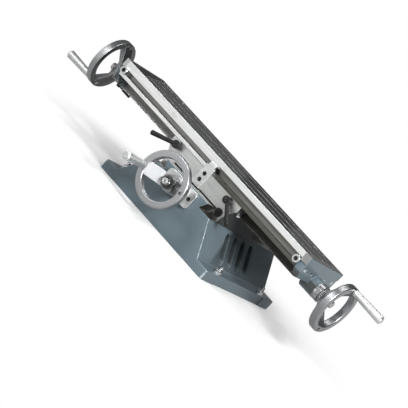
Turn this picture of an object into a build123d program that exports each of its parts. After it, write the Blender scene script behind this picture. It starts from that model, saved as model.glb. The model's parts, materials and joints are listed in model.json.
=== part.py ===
"""Cross slide table: a T-slotted work table on dovetail ways, carried by a saddle on a cast base.

Millimetres, +Z up, +X along the table, -Y towards the operator.
The origin is the middle of the base's underside. The table stands a little left of the middle
and the saddle towards the front, as they were left after work.
"""
import os
from math import cos, radians, sin, tan

from build123d import *

os.makedirs("parts", exist_ok=True)

# Clearances
SLIDE_GAP = 0.05
RUN_GAP = 0.05
HOLE_GAP = 0.05
FACE_GAP = 0.2

# Base casting
BASE_WIDTH = 464
BASE_DEPTH = 480
FLANGE_HEIGHT = 30
FLANGE_CORNER = 9
FLANGE_LEDGE = 46
FOOT_ROUNDING = 6
BODY_EDGE_ROUNDING = 2.5
SHOULDER_WIDTH = 252
SHOULDER_HEIGHT = 129
BASE_WALL = 14
TOP_PLATE_UNDERSIDE = 100
CROSS_RIB_HEIGHT = 70
CROSS_RIB_THICKNESS = 16
POCKET_COUNT = 4
POCKET_WIDTH = 30
POCKET_RIB = 25
POCKET_Y = -12
POCKET_BOTTOM = 41
POCKET_TOP = 119
POCKET_FLOOR_WIDTH = 236
LUG_PROUD = 3
FRONT_LUG_LENGTH = 90
REAR_LUG_LENGTH = 74
BOLT_EDGE_DISTANCE = 16
BOLT_Y = 150
BOLT_SHANK = 12
BOLT_HEAD_ACROSS = 19
BOLT_HEAD_HEIGHT = 8
WASHER_WIDTH = 25
WASHER_THICKNESS = 2.5
EDGE_BREAK = 1

# Dovetail way on the base, along Y
WAY_ANGLE = 60
Y_WAY_TOP_WIDTH = 185
Y_WAY_HEIGHT = 26
Y_WAY_HEADROOM = 3
NUT_SLOT_WIDTH = 60
NUT_SLOT_LENGTH = 400
NUT_SLOT_CORNER = 10

# Saddle
SADDLE_LENGTH = 302
SADDLE_DEPTH = 232
SADDLE_HEIGHT = 80
SADDLE_SIDE_HEIGHT = 19
SADDLE_WAIST = 264

# Table
TABLE_LENGTH = 800
TABLE_WIDTH = 240
TABLE_THICKNESS = 50
TABLE_X = -16
TABLE_Y = -78
X_WAY_BOTTOM_WIDTH = 152
X_WAY_HEIGHT = 27
X_WAY_HEADROOM = 2
CHANNEL_WIDTH = 60
CHANNEL_HEIGHT = 40
T_SLOT_COUNT = 3
T_SLOT_PITCH = 75
T_SLOT_NECK = 14
T_SLOT_NECK_DEPTH = 12
T_SLOT_WIDE = 24
T_SLOT_WIDE_DEPTH = 10
GROOVE_RISE = 18.5
GROOVE_NECK = 15
GROOVE_NECK_DEPTH = 8
GROOVE_WIDE = 22
GROOVE_WIDE_DEPTH = 8

# Gibs, each a taper between the way and the saddle
Y_GIB_THICK = 11
Y_GIB_THIN = 8.5
X_GIB_THICK = 9
X_GIB_THIN = 7
GIB_COLLAR = 25
GIB_COLLAR_HEIGHT = 8
GIB_COLLAR_ROOM = 1
GIB_SCREW_SHANK = 8
GIB_SCREW_LENGTH = 22
SCREW_SLOT = 3
Y_GIB_SCREW_X = 110
Y_GIB_SCREW_DROP = 3
X_GIB_SCREW_OFFSET = 88
X_GIB_SCREW_DROP = 19

# End brackets
RIGHT_BRACKET_THICKNESS = 24
LEFT_BRACKET_THICKNESS = 14
BRACKET_LIP = 25
BRACKET_SET_BACK = 5
BRACKET_KEEL_WIDTH = 206
BRACKET_KEEL_DROP = 19
BRACKET_ROUNDING = 2
BOSS_DIAMETER = 54
BOSS_LENGTH = 27
CAP_SCREW = 8
CAP_SCREW_HEAD = 13
CAP_SCREW_HEAD_HEIGHT = 8
CAP_SCREW_GRIP = 16
CAP_SCREW_SOCKET = 6
UPPER_SCREW_OFFSET = 97
UPPER_SCREW_RISE = 13
LOWER_SCREW_OFFSET = 48
LOWER_SCREW_RISE = 7

# Lead screws, bushes and feed nuts
X_SCREW_DROP = 13.5
Y_SCREW_HEIGHT = 125
THREAD_DIAMETER = 22
JOURNAL_DIAMETER = 16
STUD_DIAMETER = 12
BUSH_DIAMETER = 24
BUSH_FLANGE = 32
BUSH_FLANGE_THICKNESS = 3
X_NUT_LENGTH = 70
X_NUT_WIDTH = 50
X_NUT_HEIGHT = 33
Y_NUT_LENGTH = 60
Y_NUT_WIDTH = 50
Y_NUT_HEIGHT = 50
NUT_FOOT = 6
NUT_SCREW = 6
NUT_SCREW_HEAD = 10
NUT_SCREW_HEAD_HEIGHT = 4
NUT_SCREW_DEPTH = 7
NUT_SCREW_INSET = 7

# Bearing plate of the cross screw
PLATE_WIDTH = 120
PLATE_HEIGHT = 55
PLATE_THICKNESS = 15
PLATE_CORNER = 10
PLATE_SPIGOT = 40
PLATE_SPIGOT_LENGTH = 12
PLATE_SCREW_OFFSET = 46

# Dials
DIAL_DIAMETER = 53
DIAL_DRUM_LENGTH = 18
DIAL_NECK = 36
DIAL_NECK_LENGTH = 3
DIAL_FLANGE = 50
DIAL_FLANGE_LENGTH = 9

# Handwheels
WHEEL_DIAMETER = 163
RIM_RADIAL = 20
RIM_AXIAL = 22
RIM_REACH = 50
RIM_ROUNDING = 4
RIM_BACK_ROUNDING = 8
HUB_LENGTH = 15
HUB_DIAMETER = 40
BAR_WIDTH = 40
BAR_THICKNESS = 12
BAR_KNEE = 22
BAR_BACK_RADIUS = 69
BAR_LAND_RADIUS = 62
BAR_END_INSET = 4.5
HANDLE_RADIUS = 70
CROSS_WHEEL_TILT = 8.6
WHEEL_NUT_ACROSS = 19
WHEEL_NUT_HEIGHT = 15
WHEEL_NUT_FLANGE = 30
WHEEL_NUT_FLANGE_HEIGHT = 3
STUD_KEY = 6

# Revolving handles
PIN_DIAMETER = 10
PIN_COLLAR = 15
PIN_COLLAR_HEIGHT = 2
PIN_HEAD = 16
PIN_HEAD_HEIGHT = 7
PIN_SLOT = 2.5
GRIP_LENGTH = 112
GRIP_ROOT_DIAMETER = 20
GRIP_END_DIAMETER = 26
GRIP_END_ROUNDING = 5

# Clamp levers on the saddle
LEFT_LEVER_X = -121
RIGHT_LEVER_X = 110
LEVER_DROP = 13
LEVER_HUB = 24
LEVER_HUB_LENGTH = 22
LEVER_ARM_LENGTH = 82
LEVER_ARM_RISE = 13
LEVER_TILT = 17
LEVER_ROOT = 11
LEVER_END = 15
LEVER_STUD = 10
STUD_SOCKET = 5
LEFT_LEVER_ANGLE = 199.5
RIGHT_LEVER_ANGLE = -35

# Travel stops
STOP_BLOCK_X = 4
STOP_BLOCK_WIDTH = 34
STOP_BLOCK_NECK = 24
STOP_BLOCK_THICKNESS = 14
STOP_BLOCK_BOTTOM_RISE = 28
STOP_BLOCK_SHOULDER_RISE = 17
STOP_BLOCK_TOP_RISE = 28
STOP_BLOCK_CLEARANCE = 1
STOP_SCREW_RISES = (49, 70)
STOP_INSET = 8
STOP_DIAMETER = 24
STOP_THICKNESS = 9
STOP_NUT_LENGTH = 14

# Screw lock under the left bracket
LOCK_Y_OFFSET = 62
LOCK_HUB = 12
LOCK_HUB_LENGTH = 17
LOCK_SPINDLE = 6
LOCK_SPINDLE_DEPTH = 18
LOCK_ROD = 4
LOCK_ROD_LENGTH = 19
LOCK_GRIP = 8
LOCK_GRIP_LENGTH = 33

# Heights, faces and slopes that follow from the sizes above
BODY_FOOT_WIDTH = BASE_WIDTH - 2 * FLANGE_LEDGE
BOLT_X = BASE_WIDTH / 2 - BOLT_EDGE_DISTANCE
Y_WAY_TOP = SHOULDER_HEIGHT + Y_WAY_HEIGHT
SADDLE_BOTTOM = SHOULDER_HEIGHT + SLIDE_GAP
SADDLE_TOP = SHOULDER_HEIGHT + SADDLE_HEIGHT
SADDLE_CEILING = Y_WAY_TOP + Y_WAY_HEADROOM
TABLE_BOTTOM = SADDLE_TOP + SLIDE_GAP
TABLE_TOP = TABLE_BOTTOM + TABLE_THICKNESS
X_WAY_BOTTOM = TABLE_BOTTOM - X_WAY_HEIGHT
SADDLE_FLOOR = X_WAY_BOTTOM - X_WAY_HEADROOM
X_SCREW_HEIGHT = TABLE_BOTTOM - X_SCREW_DROP
TABLE_LEFT = TABLE_X - TABLE_LENGTH / 2
TABLE_RIGHT = TABLE_X + TABLE_LENGTH / 2
TABLE_FRONT = TABLE_Y - TABLE_WIDTH / 2
SADDLE_FRONT = TABLE_Y - SADDLE_DEPTH / 2
SADDLE_REAR = TABLE_Y + SADDLE_DEPTH / 2
BASE_FRONT = -BASE_DEPTH / 2
PLATE_FACE = BASE_FRONT - PLATE_THICKNESS
WAY_SLOPE = 1 / tan(radians(WAY_ANGLE))
Y_WAY_FOOT = Y_WAY_TOP_WIDTH / 2 - Y_WAY_HEIGHT * WAY_SLOPE
X_SLOT_FOOT = X_WAY_BOTTOM_WIDTH / 2 + X_WAY_HEADROOM * WAY_SLOPE
GIB_INSET = GIB_COLLAR_HEIGHT + FACE_GAP

# Places along a screw's end, measured outwards from the face that its boss stands on
DIAL_START = BOSS_LENGTH + FACE_GAP
DIAL_END = DIAL_START + DIAL_DRUM_LENGTH + DIAL_NECK_LENGTH + DIAL_FLANGE_LENGTH
HUB_START = DIAL_END + FACE_GAP
HUB_FACE = HUB_START + HUB_LENGTH
RIM_FACE = HUB_START + RIM_REACH
RIM_BACK = RIM_FACE - RIM_AXIAL
STUD_END = HUB_FACE + WHEEL_NUT_HEIGHT
GRIP_START = RIM_FACE + PIN_COLLAR_HEIGHT + FACE_GAP
GRIP_END = GRIP_START + GRIP_LENGTH

# Frames of the three screw ends: outwards along local Z, towards the handle along local X
tilt = radians(CROSS_WHEEL_TILT)
RIGHT_END = Plane((TABLE_RIGHT + RIGHT_BRACKET_THICKNESS, TABLE_Y, X_SCREW_HEIGHT), (0, 0, 1), (1, 0, 0))
LEFT_END = Plane((TABLE_LEFT - LEFT_BRACKET_THICKNESS, TABLE_Y, X_SCREW_HEIGHT), (0, 0, -1), (-1, 0, 0))
FRONT_END = Plane((0, PLATE_FACE, Y_SCREW_HEIGHT), (-cos(tilt), 0, -sin(tilt)), (0, -1, 0))


def body_half_width(height):
    """Half the width of the base's sloping body at a height."""
    share = (height - FLANGE_HEIGHT) / (SHOULDER_HEIGHT - FLANGE_HEIGHT)
    return (BODY_FOOT_WIDTH + (SHOULDER_WIDTH - BODY_FOOT_WIDTH) * share) / 2


# Base casting: sloping body on a flange, dovetail way on top, hollow below
with BuildPart() as base_casting:
    with BuildSketch():
        RectangleRounded(BASE_WIDTH, BASE_DEPTH, FLANGE_CORNER)
    extrude(amount=FLANGE_HEIGHT)
    with BuildSketch(Plane.XZ):
        with BuildLine():
            Polyline(
                (-BODY_FOOT_WIDTH / 2, FLANGE_HEIGHT),
                (BODY_FOOT_WIDTH / 2, FLANGE_HEIGHT),
                (SHOULDER_WIDTH / 2, SHOULDER_HEIGHT),
                (-SHOULDER_WIDTH / 2, SHOULDER_HEIGHT),
                close=True,
            )
        make_face()
        with BuildLine():
            Polyline(
                (-Y_WAY_FOOT, SHOULDER_HEIGHT),
                (Y_WAY_FOOT, SHOULDER_HEIGHT),
                (Y_WAY_TOP_WIDTH / 2, Y_WAY_TOP),
                (-Y_WAY_TOP_WIDTH / 2, Y_WAY_TOP),
                close=True,
            )
        make_face()
    extrude(amount=BASE_DEPTH / 2, both=True)
    # the casting's round at the foot of each slope, and round edges at the slopes' ends
    edges_along = base_casting.edges().filter_by(Axis.Y)
    foot_edges = edges_along.filter_by_position(Axis.Z, FLANGE_HEIGHT, FLANGE_HEIGHT)
    fillet(foot_edges.sort_by(Axis.X)[1:-1], FOOT_ROUNDING)
    slope_ends = base_casting.edges().filter_by_position(
        Axis.Z, FLANGE_HEIGHT + FOOT_ROUNDING, SHOULDER_HEIGHT - FOOT_ROUNDING
    )
    fillet(slope_ends, BODY_EDGE_ROUNDING)
    # the hollow is straight-sided behind the pockets and follows the slope at both ends
    hollow_depth = BASE_DEPTH - 2 * BASE_WALL
    pocket_zone = POCKET_COUNT * POCKET_WIDTH + (POCKET_COUNT + 1) * POCKET_RIB
    with BuildSketch():
        Rectangle(POCKET_FLOOR_WIDTH - 2 * BASE_WALL, hollow_depth)
    extrude(amount=TOP_PLATE_UNDERSIDE, mode=Mode.SUBTRACT)
    low = body_half_width(FLANGE_HEIGHT) - BASE_WALL
    high = body_half_width(TOP_PLATE_UNDERSIDE) - BASE_WALL
    for start, end in (
        (-hollow_depth / 2, POCKET_Y - pocket_zone / 2),
        (POCKET_Y + pocket_zone / 2, hollow_depth / 2),
    ):
        with BuildSketch(Plane.XZ.offset(-start)):
            with BuildLine():
                Polyline(
                    (-low, 0),
                    (low, 0),
                    (low, FLANGE_HEIGHT),
                    (high, TOP_PLATE_UNDERSIDE),
                    (-high, TOP_PLATE_UNDERSIDE),
                    (-low, FLANGE_HEIGHT),
                    close=True,
                )
            make_face()
        extrude(amount=start - end, mode=Mode.SUBTRACT)
    # a rib ties the two sides together under the middle, flush with the foot
    with BuildSketch():
        Rectangle(POCKET_FLOOR_WIDTH - BASE_WALL, CROSS_RIB_THICKNESS)
    extrude(amount=CROSS_RIB_HEIGHT)
    # finger-shaped pockets with round ends leave upright ribs on each side
    for side in (1, -1):
        with BuildSketch(Plane.YZ.offset(side * POCKET_FLOOR_WIDTH / 2)):
            with Locations((POCKET_Y, (POCKET_BOTTOM + POCKET_TOP) / 2)):
                with GridLocations(POCKET_WIDTH + POCKET_RIB, 0, POCKET_COUNT, 1):
                    SlotOverall(POCKET_TOP - POCKET_BOTTOM, POCKET_WIDTH, rotation=90)
        extrude(amount=side * BODY_FOOT_WIDTH / 4, mode=Mode.SUBTRACT)
    # the slot that the cross nut travels in
    with BuildSketch(Plane.XY.offset(TOP_PLATE_UNDERSIDE)):
        RectangleRounded(NUT_SLOT_WIDTH, NUT_SLOT_LENGTH, NUT_SLOT_CORNER)
    extrude(amount=Y_WAY_TOP - TOP_PLATE_UNDERSIDE, mode=Mode.SUBTRACT)
    # a bore for the cross screw in both end walls, with the plate's spigot seat in front
    with BuildSketch(Plane.XZ):
        with Locations((0, Y_SCREW_HEIGHT)):
            Circle(BUSH_DIAMETER / 2 + HOLE_GAP)
    extrude(amount=BASE_DEPTH / 2, both=True, mode=Mode.SUBTRACT)
    with BuildSketch(Plane.XZ.offset(BASE_DEPTH / 2)):
        with Locations((0, Y_SCREW_HEIGHT)):
            Circle(PLATE_SPIGOT / 2 + HOLE_GAP)
    extrude(amount=-PLATE_SPIGOT_LENGTH, mode=Mode.SUBTRACT)
    with BuildSketch(Plane.XZ.offset(BASE_DEPTH / 2)):
        with Locations((0, Y_SCREW_HEIGHT)):
            with GridLocations(2 * PLATE_SCREW_OFFSET, 0, 2, 1):
                Circle(CAP_SCREW / 2 + HOLE_GAP)
    extrude(amount=-CAP_SCREW_GRIP, mode=Mode.SUBTRACT)
    # the flange's sides stand back between the corner lugs
    for side in (1, -1):
        with BuildSketch():
            with Locations((side * BASE_WIDTH / 2, (FRONT_LUG_LENGTH - REAR_LUG_LENGTH) / 2)):
                Rectangle(2 * LUG_PROUD, BASE_DEPTH - FRONT_LUG_LENGTH - REAR_LUG_LENGTH)
        extrude(amount=FLANGE_HEIGHT, mode=Mode.SUBTRACT)
    with BuildSketch():
        with GridLocations(2 * BOLT_X, 2 * BOLT_Y, 2, 2):
            Circle(BOLT_SHANK / 2 + HOLE_GAP)
    extrude(amount=FLANGE_HEIGHT, mode=Mode.SUBTRACT)
base_casting.part.label = "base_casting"
export_step(base_casting.part, "parts/base_casting.step")

# Hold-down bolts and their washers at the four corners of the flange
with BuildPart() as hold_down_washers:
    with BuildSketch(Plane.XY.offset(FLANGE_HEIGHT)):
        with GridLocations(2 * BOLT_X, 2 * BOLT_Y, 2, 2):
            Circle(WASHER_WIDTH / 2)
            Circle(BOLT_SHANK / 2 + HOLE_GAP, mode=Mode.SUBTRACT)
    extrude(amount=WASHER_THICKNESS)
hold_down_washers.part.label = "hold_down_washers"
export_step(hold_down_washers.part, "parts/hold_down_washers.step")

with BuildPart() as hold_down_bolts:
    with BuildSketch():
        with GridLocations(2 * BOLT_X, 2 * BOLT_Y, 2, 2):
            Circle(BOLT_SHANK / 2)
    extrude(amount=FLANGE_HEIGHT + WASHER_THICKNESS)
    with BuildSketch(Plane.XY.offset(FLANGE_HEIGHT + WASHER_THICKNESS)):
        with GridLocations(2 * BOLT_X, 2 * BOLT_Y, 2, 2):
            RegularPolygon(BOLT_HEAD_ACROSS / 2, 6, major_radius=False)
    extrude(amount=BOLT_HEAD_HEIGHT)
    chamfer(hold_down_bolts.faces().group_by(Axis.Z)[-1].edges(), EDGE_BREAK)
hold_down_bolts.part.label = "hold_down_bolts"
export_step(hold_down_bolts.part, "parts/hold_down_bolts.step")

# Bearing plate of the cross screw, with its boss in front and a spigot in the base
with BuildPart() as y_bearing_plate:
    with BuildSketch(Plane.XZ.offset(-BASE_FRONT)):
        with Locations((0, Y_SCREW_HEIGHT)):
            RectangleRounded(PLATE_WIDTH, PLATE_HEIGHT, PLATE_CORNER)
    extrude(amount=PLATE_THICKNESS)
    chamfer(y_bearing_plate.faces().sort_by(Axis.Y)[0].edges(), EDGE_BREAK)
    with BuildSketch(Plane.XZ.offset(-PLATE_FACE)):
        with Locations((0, Y_SCREW_HEIGHT)):
            Circle(BOSS_DIAMETER / 2)
    extrude(amount=BOSS_LENGTH)
    with BuildSketch(Plane.XZ.offset(-BASE_FRONT)):
        with Locations((0, Y_SCREW_HEIGHT)):
            Circle(PLATE_SPIGOT / 2)
    extrude(amount=-PLATE_SPIGOT_LENGTH)
    with BuildSketch(Plane.XZ.offset(-PLATE_FACE + BOSS_LENGTH)):
        with Locations((0, Y_SCREW_HEIGHT)):
            Circle(BUSH_DIAMETER / 2 + HOLE_GAP)
    extrude(amount=-BOSS_LENGTH - PLATE_THICKNESS - PLATE_SPIGOT_LENGTH, mode=Mode.SUBTRACT)
    with Locations(Plane.XZ.offset(-PLATE_FACE)):
        with Locations((-PLATE_SCREW_OFFSET, Y_SCREW_HEIGHT), (PLATE_SCREW_OFFSET, Y_SCREW_HEIGHT)):
            CounterBoreHole(CAP_SCREW / 2 + HOLE_GAP, CAP_SCREW_HEAD / 2 + HOLE_GAP,
                            CAP_SCREW_HEAD_HEIGHT, PLATE_THICKNESS)
y_bearing_plate.part.label = "y_bearing_plate"
export_step(y_bearing_plate.part, "parts/y_bearing_plate.step")

# One socket screw's head, its top on the local XY plane; every cap screw below has a copy
with BuildPart() as cap_screw_head:
    with BuildSketch():
        Circle(CAP_SCREW_HEAD / 2)
    extrude(amount=-CAP_SCREW_HEAD_HEIGHT)
    chamfer(cap_screw_head.faces().sort_by(Axis.Z)[-1].edges(), EDGE_BREAK / 2)
    with BuildSketch():
        RegularPolygon(CAP_SCREW_SOCKET / 2, 6, major_radius=False)
    extrude(amount=-CAP_SCREW_HEAD_HEIGHT / 2, mode=Mode.SUBTRACT)


def shank_length(thickness):
    """Length under the head of a cap screw that holds a counterbored piece this thick."""
    return thickness - CAP_SCREW_HEAD_HEIGHT + CAP_SCREW_GRIP


plate_screw_plane = Plane((0, PLATE_FACE, Y_SCREW_HEIGHT), (1, 0, 0), (0, -1, 0))
with BuildPart() as y_plate_screws:
    with Locations(plate_screw_plane):
        with Locations((-PLATE_SCREW_OFFSET, 0), (PLATE_SCREW_OFFSET, 0)):
            add(cap_screw_head.part)
    with BuildSketch(plate_screw_plane.offset(-CAP_SCREW_HEAD_HEIGHT)):
        with Locations((-PLATE_SCREW_OFFSET, 0), (PLATE_SCREW_OFFSET, 0)):
            Circle(CAP_SCREW / 2)
    extrude(amount=-shank_length(PLATE_THICKNESS))
y_plate_screws.part.label = "y_plate_screws"
export_step(y_plate_screws.part, "parts/y_plate_screws.step")

# Saddle casting: one dovetail slot along Y below and one along X above, each wider by its gib
lever_height = SADDLE_TOP - LEVER_DROP
flank_at_stud = X_SLOT_FOOT + X_GIB_THICK - (lever_height - LEVER_STUD / 2 - SADDLE_FLOOR) * WAY_SLOPE
stud_reach = SADDLE_DEPTH / 2 - flank_at_stud - FACE_GAP
y_gib_screw_height = Y_WAY_TOP - Y_GIB_SCREW_DROP
y_gib_seats = [
    Plane((Y_GIB_SCREW_X, SADDLE_FRONT, y_gib_screw_height), (1, 0, 1), (0, -1, 0)),
    Plane((Y_GIB_SCREW_X, SADDLE_REAR, y_gib_screw_height), (1, 0, -1), (0, 1, 0)),
]
x_gib_screw_y = TABLE_Y - X_GIB_SCREW_OFFSET
x_gib_screw_height = SADDLE_TOP - X_GIB_SCREW_DROP
x_gib_seats = [
    Plane((SADDLE_LENGTH / 2, x_gib_screw_y, x_gib_screw_height), (0, 1, 2), (1, 0, 0)),
    Plane((-SADDLE_LENGTH / 2, x_gib_screw_y, x_gib_screw_height), (0, 1, 1), (-1, 0, 0)),
]
with BuildPart() as saddle_casting:
    side_bottom = SADDLE_TOP - SADDLE_SIDE_HEIGHT
    waist_height = (side_bottom + SHOULDER_HEIGHT) / 2
    with BuildSketch(Plane.XZ.offset(-TABLE_Y)):
        with BuildLine():
            Line((-SADDLE_LENGTH / 2, SADDLE_TOP), (SADDLE_LENGTH / 2, SADDLE_TOP))
            Line((SADDLE_LENGTH / 2, SADDLE_TOP), (SADDLE_LENGTH / 2, side_bottom))
            ThreePointArc((SADDLE_LENGTH / 2, side_bottom), (SADDLE_WAIST / 2, waist_height),
                          (SHOULDER_WIDTH / 2, SADDLE_BOTTOM))
            Line((SHOULDER_WIDTH / 2, SADDLE_BOTTOM), (-SHOULDER_WIDTH / 2, SADDLE_BOTTOM))
            ThreePointArc((-SHOULDER_WIDTH / 2, SADDLE_BOTTOM), (-SADDLE_WAIST / 2, waist_height),
                          (-SADDLE_LENGTH / 2, side_bottom))
            Line((-SADDLE_LENGTH / 2, side_bottom), (-SADDLE_LENGTH / 2, SADDLE_TOP))
        make_face()
    extrude(amount=SADDLE_DEPTH / 2, both=True)
    # lower slot: the right flank opens towards the front for the taper of its gib
    ceiling_half = Y_WAY_FOOT + (SADDLE_CEILING - SHOULDER_HEIGHT) * WAY_SLOPE
    for y, gib in ((SADDLE_FRONT, Y_GIB_THICK), (SADDLE_REAR, Y_GIB_THIN)):
        with BuildSketch(Plane.XZ.offset(-y)):
            with BuildLine():
                Polyline(
                    (-Y_WAY_FOOT - SLIDE_GAP, SHOULDER_HEIGHT),
                    (Y_WAY_FOOT + gib, SHOULDER_HEIGHT),
                    (ceiling_half + gib, SADDLE_CEILING),
                    (-ceiling_half - SLIDE_GAP, SADDLE_CEILING),
                    close=True,
                )
            make_face()
    loft(ruled=True, mode=Mode.SUBTRACT)
    # upper slot: the front flank opens towards the right
    mouth_half = X_SLOT_FOOT - (SADDLE_TOP - SADDLE_FLOOR) * WAY_SLOPE
    for x, gib in ((-SADDLE_LENGTH / 2, X_GIB_THIN), (SADDLE_LENGTH / 2, X_GIB_THICK)):
        with BuildSketch(Plane.YZ.offset(x)):
            with BuildLine():
                Polyline(
                    (TABLE_Y - X_SLOT_FOOT - gib, SADDLE_FLOOR),
                    (TABLE_Y + X_SLOT_FOOT + SLIDE_GAP, SADDLE_FLOOR),
                    (TABLE_Y + mouth_half + SLIDE_GAP, SADDLE_TOP),
                    (TABLE_Y - mouth_half - gib, SADDLE_TOP),
                    close=True,
                )
            make_face()
    loft(ruled=True, mode=Mode.SUBTRACT)
    # a round recess for the collar of each gib screw, and its tapped hole
    for seat in y_gib_seats + x_gib_seats:
        with BuildSketch(seat):
            Circle(GIB_COLLAR / 2 + GIB_COLLAR_ROOM)
        extrude(amount=-GIB_COLLAR_HEIGHT, mode=Mode.SUBTRACT)
        with BuildSketch(seat):
            Circle(GIB_SCREW_SHANK / 2 + HOLE_GAP)
        extrude(amount=-GIB_SCREW_LENGTH, mode=Mode.SUBTRACT)
    # holes in the front wall for the clamp studs, through to the slot, and the stop block's screws
    with BuildSketch(Plane.XZ.offset(-SADDLE_FRONT)):
        with Locations((LEFT_LEVER_X, lever_height), (RIGHT_LEVER_X, lever_height)):
            Circle(LEVER_STUD / 2 + RUN_GAP)
    extrude(amount=-stud_reach - LEVER_STUD, mode=Mode.SUBTRACT)
    with BuildSketch(Plane.XZ.offset(-SADDLE_FRONT)):
        with Locations(*[(STOP_BLOCK_X, SHOULDER_HEIGHT + rise) for rise in STOP_SCREW_RISES]):
            Circle(CAP_SCREW / 2 + HOLE_GAP)
    extrude(amount=-CAP_SCREW_GRIP, mode=Mode.SUBTRACT)
    # tapped holes for the screws of both feed nuts
    with BuildSketch(Plane.XY.offset(SADDLE_FLOOR)):
        with Locations((0, TABLE_Y)):
            with GridLocations(X_NUT_LENGTH - 2 * NUT_SCREW_INSET, X_NUT_WIDTH - 2 * NUT_SCREW_INSET, 2, 2):
                Circle(NUT_SCREW / 2 + HOLE_GAP)
    extrude(amount=-NUT_SCREW_DEPTH, mode=Mode.SUBTRACT)
    with BuildSketch(Plane.XY.offset(SADDLE_CEILING)):
        with Locations((0, TABLE_Y)):
            with GridLocations(Y_NUT_WIDTH - 2 * NUT_SCREW_INSET, Y_NUT_LENGTH - 2 * NUT_SCREW_INSET, 2, 2):
                Circle(NUT_SCREW / 2 + HOLE_GAP)
    extrude(amount=NUT_SCREW_DEPTH, mode=Mode.SUBTRACT)
saddle_casting.part.label = "saddle_casting"
export_step(saddle_casting.part, "parts/saddle_casting.step")

# Taper gibs, parallel to the ways on one side and to the saddle's flank on the other
with BuildPart() as y_gib:
    y_taper = (Y_GIB_THIN - Y_GIB_THICK) / SADDLE_DEPTH
    low = SADDLE_BOTTOM + FACE_GAP
    high = Y_WAY_TOP
    for y in (SADDLE_FRONT + GIB_INSET, SADDLE_REAR - GIB_INSET):
        gib = Y_GIB_THICK + y_taper * (y - SADDLE_FRONT)
        flank = [Y_WAY_FOOT + (z - SHOULDER_HEIGHT) * WAY_SLOPE for z in (low, high)]
        with BuildSketch(Plane.XZ.offset(-y)):
            with BuildLine():
                Polyline(
                    (flank[0] + SLIDE_GAP, low),
                    (flank[0] + gib - HOLE_GAP, low),
                    (flank[1] + gib - HOLE_GAP, high),
                    (flank[1] + SLIDE_GAP, high),
                    close=True,
                )
            make_face()
    loft(ruled=True)
y_gib.part.label = "y_gib"
export_step(y_gib.part, "parts/y_gib.step")

with BuildPart() as x_gib:
    x_taper = (X_GIB_THICK - X_GIB_THIN) / SADDLE_LENGTH
    low = X_WAY_BOTTOM
    high = SADDLE_TOP - FACE_GAP
    for x in (-SADDLE_LENGTH / 2 + GIB_INSET, SADDLE_LENGTH / 2 - GIB_INSET):
        gib = X_GIB_THIN + x_taper * (x + SADDLE_LENGTH / 2)
        flank = [TABLE_Y - X_SLOT_FOOT + (z - SADDLE_FLOOR) * WAY_SLOPE for z in (low, high)]
        with BuildSketch(Plane.YZ.offset(x)):
            with BuildLine():
                Polyline(
                    (flank[0] - SLIDE_GAP, low),
                    (flank[0] - gib + HOLE_GAP, low),
                    (flank[1] - gib + HOLE_GAP, high),
                    (flank[1] - SLIDE_GAP, high),
                    close=True,
                )
            make_face()
    loft(ruled=True)
x_gib.part.label = "x_gib"
export_step(x_gib.part, "parts/x_gib.step")

# Slotted screws whose wide collars hold the ends of the gibs
with BuildPart() as gib_screw:
    with BuildSketch():
        Circle(GIB_COLLAR / 2)
    extrude(amount=-GIB_COLLAR_HEIGHT)
    chamfer(gib_screw.faces().sort_by(Axis.Z)[-1].edges(), EDGE_BREAK)
    with BuildSketch():
        Circle(GIB_SCREW_SHANK / 2)
    extrude(amount=-GIB_SCREW_LENGTH)
    with BuildSketch():
        Rectangle(GIB_COLLAR, SCREW_SLOT)
    extrude(amount=-SCREW_SLOT, mode=Mode.SUBTRACT)

with BuildPart() as y_gib_screws:
    with Locations(*y_gib_seats):
        add(gib_screw.part)
y_gib_screws.part.label = "y_gib_screws"
export_step(y_gib_screws.part, "parts/y_gib_screws.step")

with BuildPart() as x_gib_screws:
    with Locations(*x_gib_seats):
        add(gib_screw.part)
x_gib_screws.part.label = "x_gib_screws"
export_step(x_gib_screws.part, "parts/x_gib_screws.step")

# Bronze feed nuts on the saddle's web: each stands on a foot at its four screws
with BuildPart() as x_feed_nut:
    with BuildSketch(Plane.XY.offset(SADDLE_FLOOR)):
        with Locations((0, TABLE_Y)):
            Rectangle(X_NUT_LENGTH, X_NUT_WIDTH)
    extrude(amount=X_NUT_HEIGHT)
    with BuildSketch(Plane.YZ):
        with Locations((TABLE_Y, X_SCREW_HEIGHT)):
            Circle(THREAD_DIAMETER / 2 + RUN_GAP)
    extrude(amount=X_NUT_LENGTH / 2, both=True, mode=Mode.SUBTRACT)
    with Locations(Plane.XY.offset(SADDLE_FLOOR + X_NUT_HEIGHT)):
        with Locations((0, TABLE_Y)):
            with GridLocations(X_NUT_LENGTH - 2 * NUT_SCREW_INSET, X_NUT_WIDTH - 2 * NUT_SCREW_INSET, 2, 2):
                CounterBoreHole(NUT_SCREW / 2 + HOLE_GAP, NUT_SCREW_HEAD / 2 + HOLE_GAP,
                                X_NUT_HEIGHT - NUT_FOOT, X_NUT_HEIGHT)
x_feed_nut.part.label = "x_feed_nut"
export_step(x_feed_nut.part, "parts/x_feed_nut.step")

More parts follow.
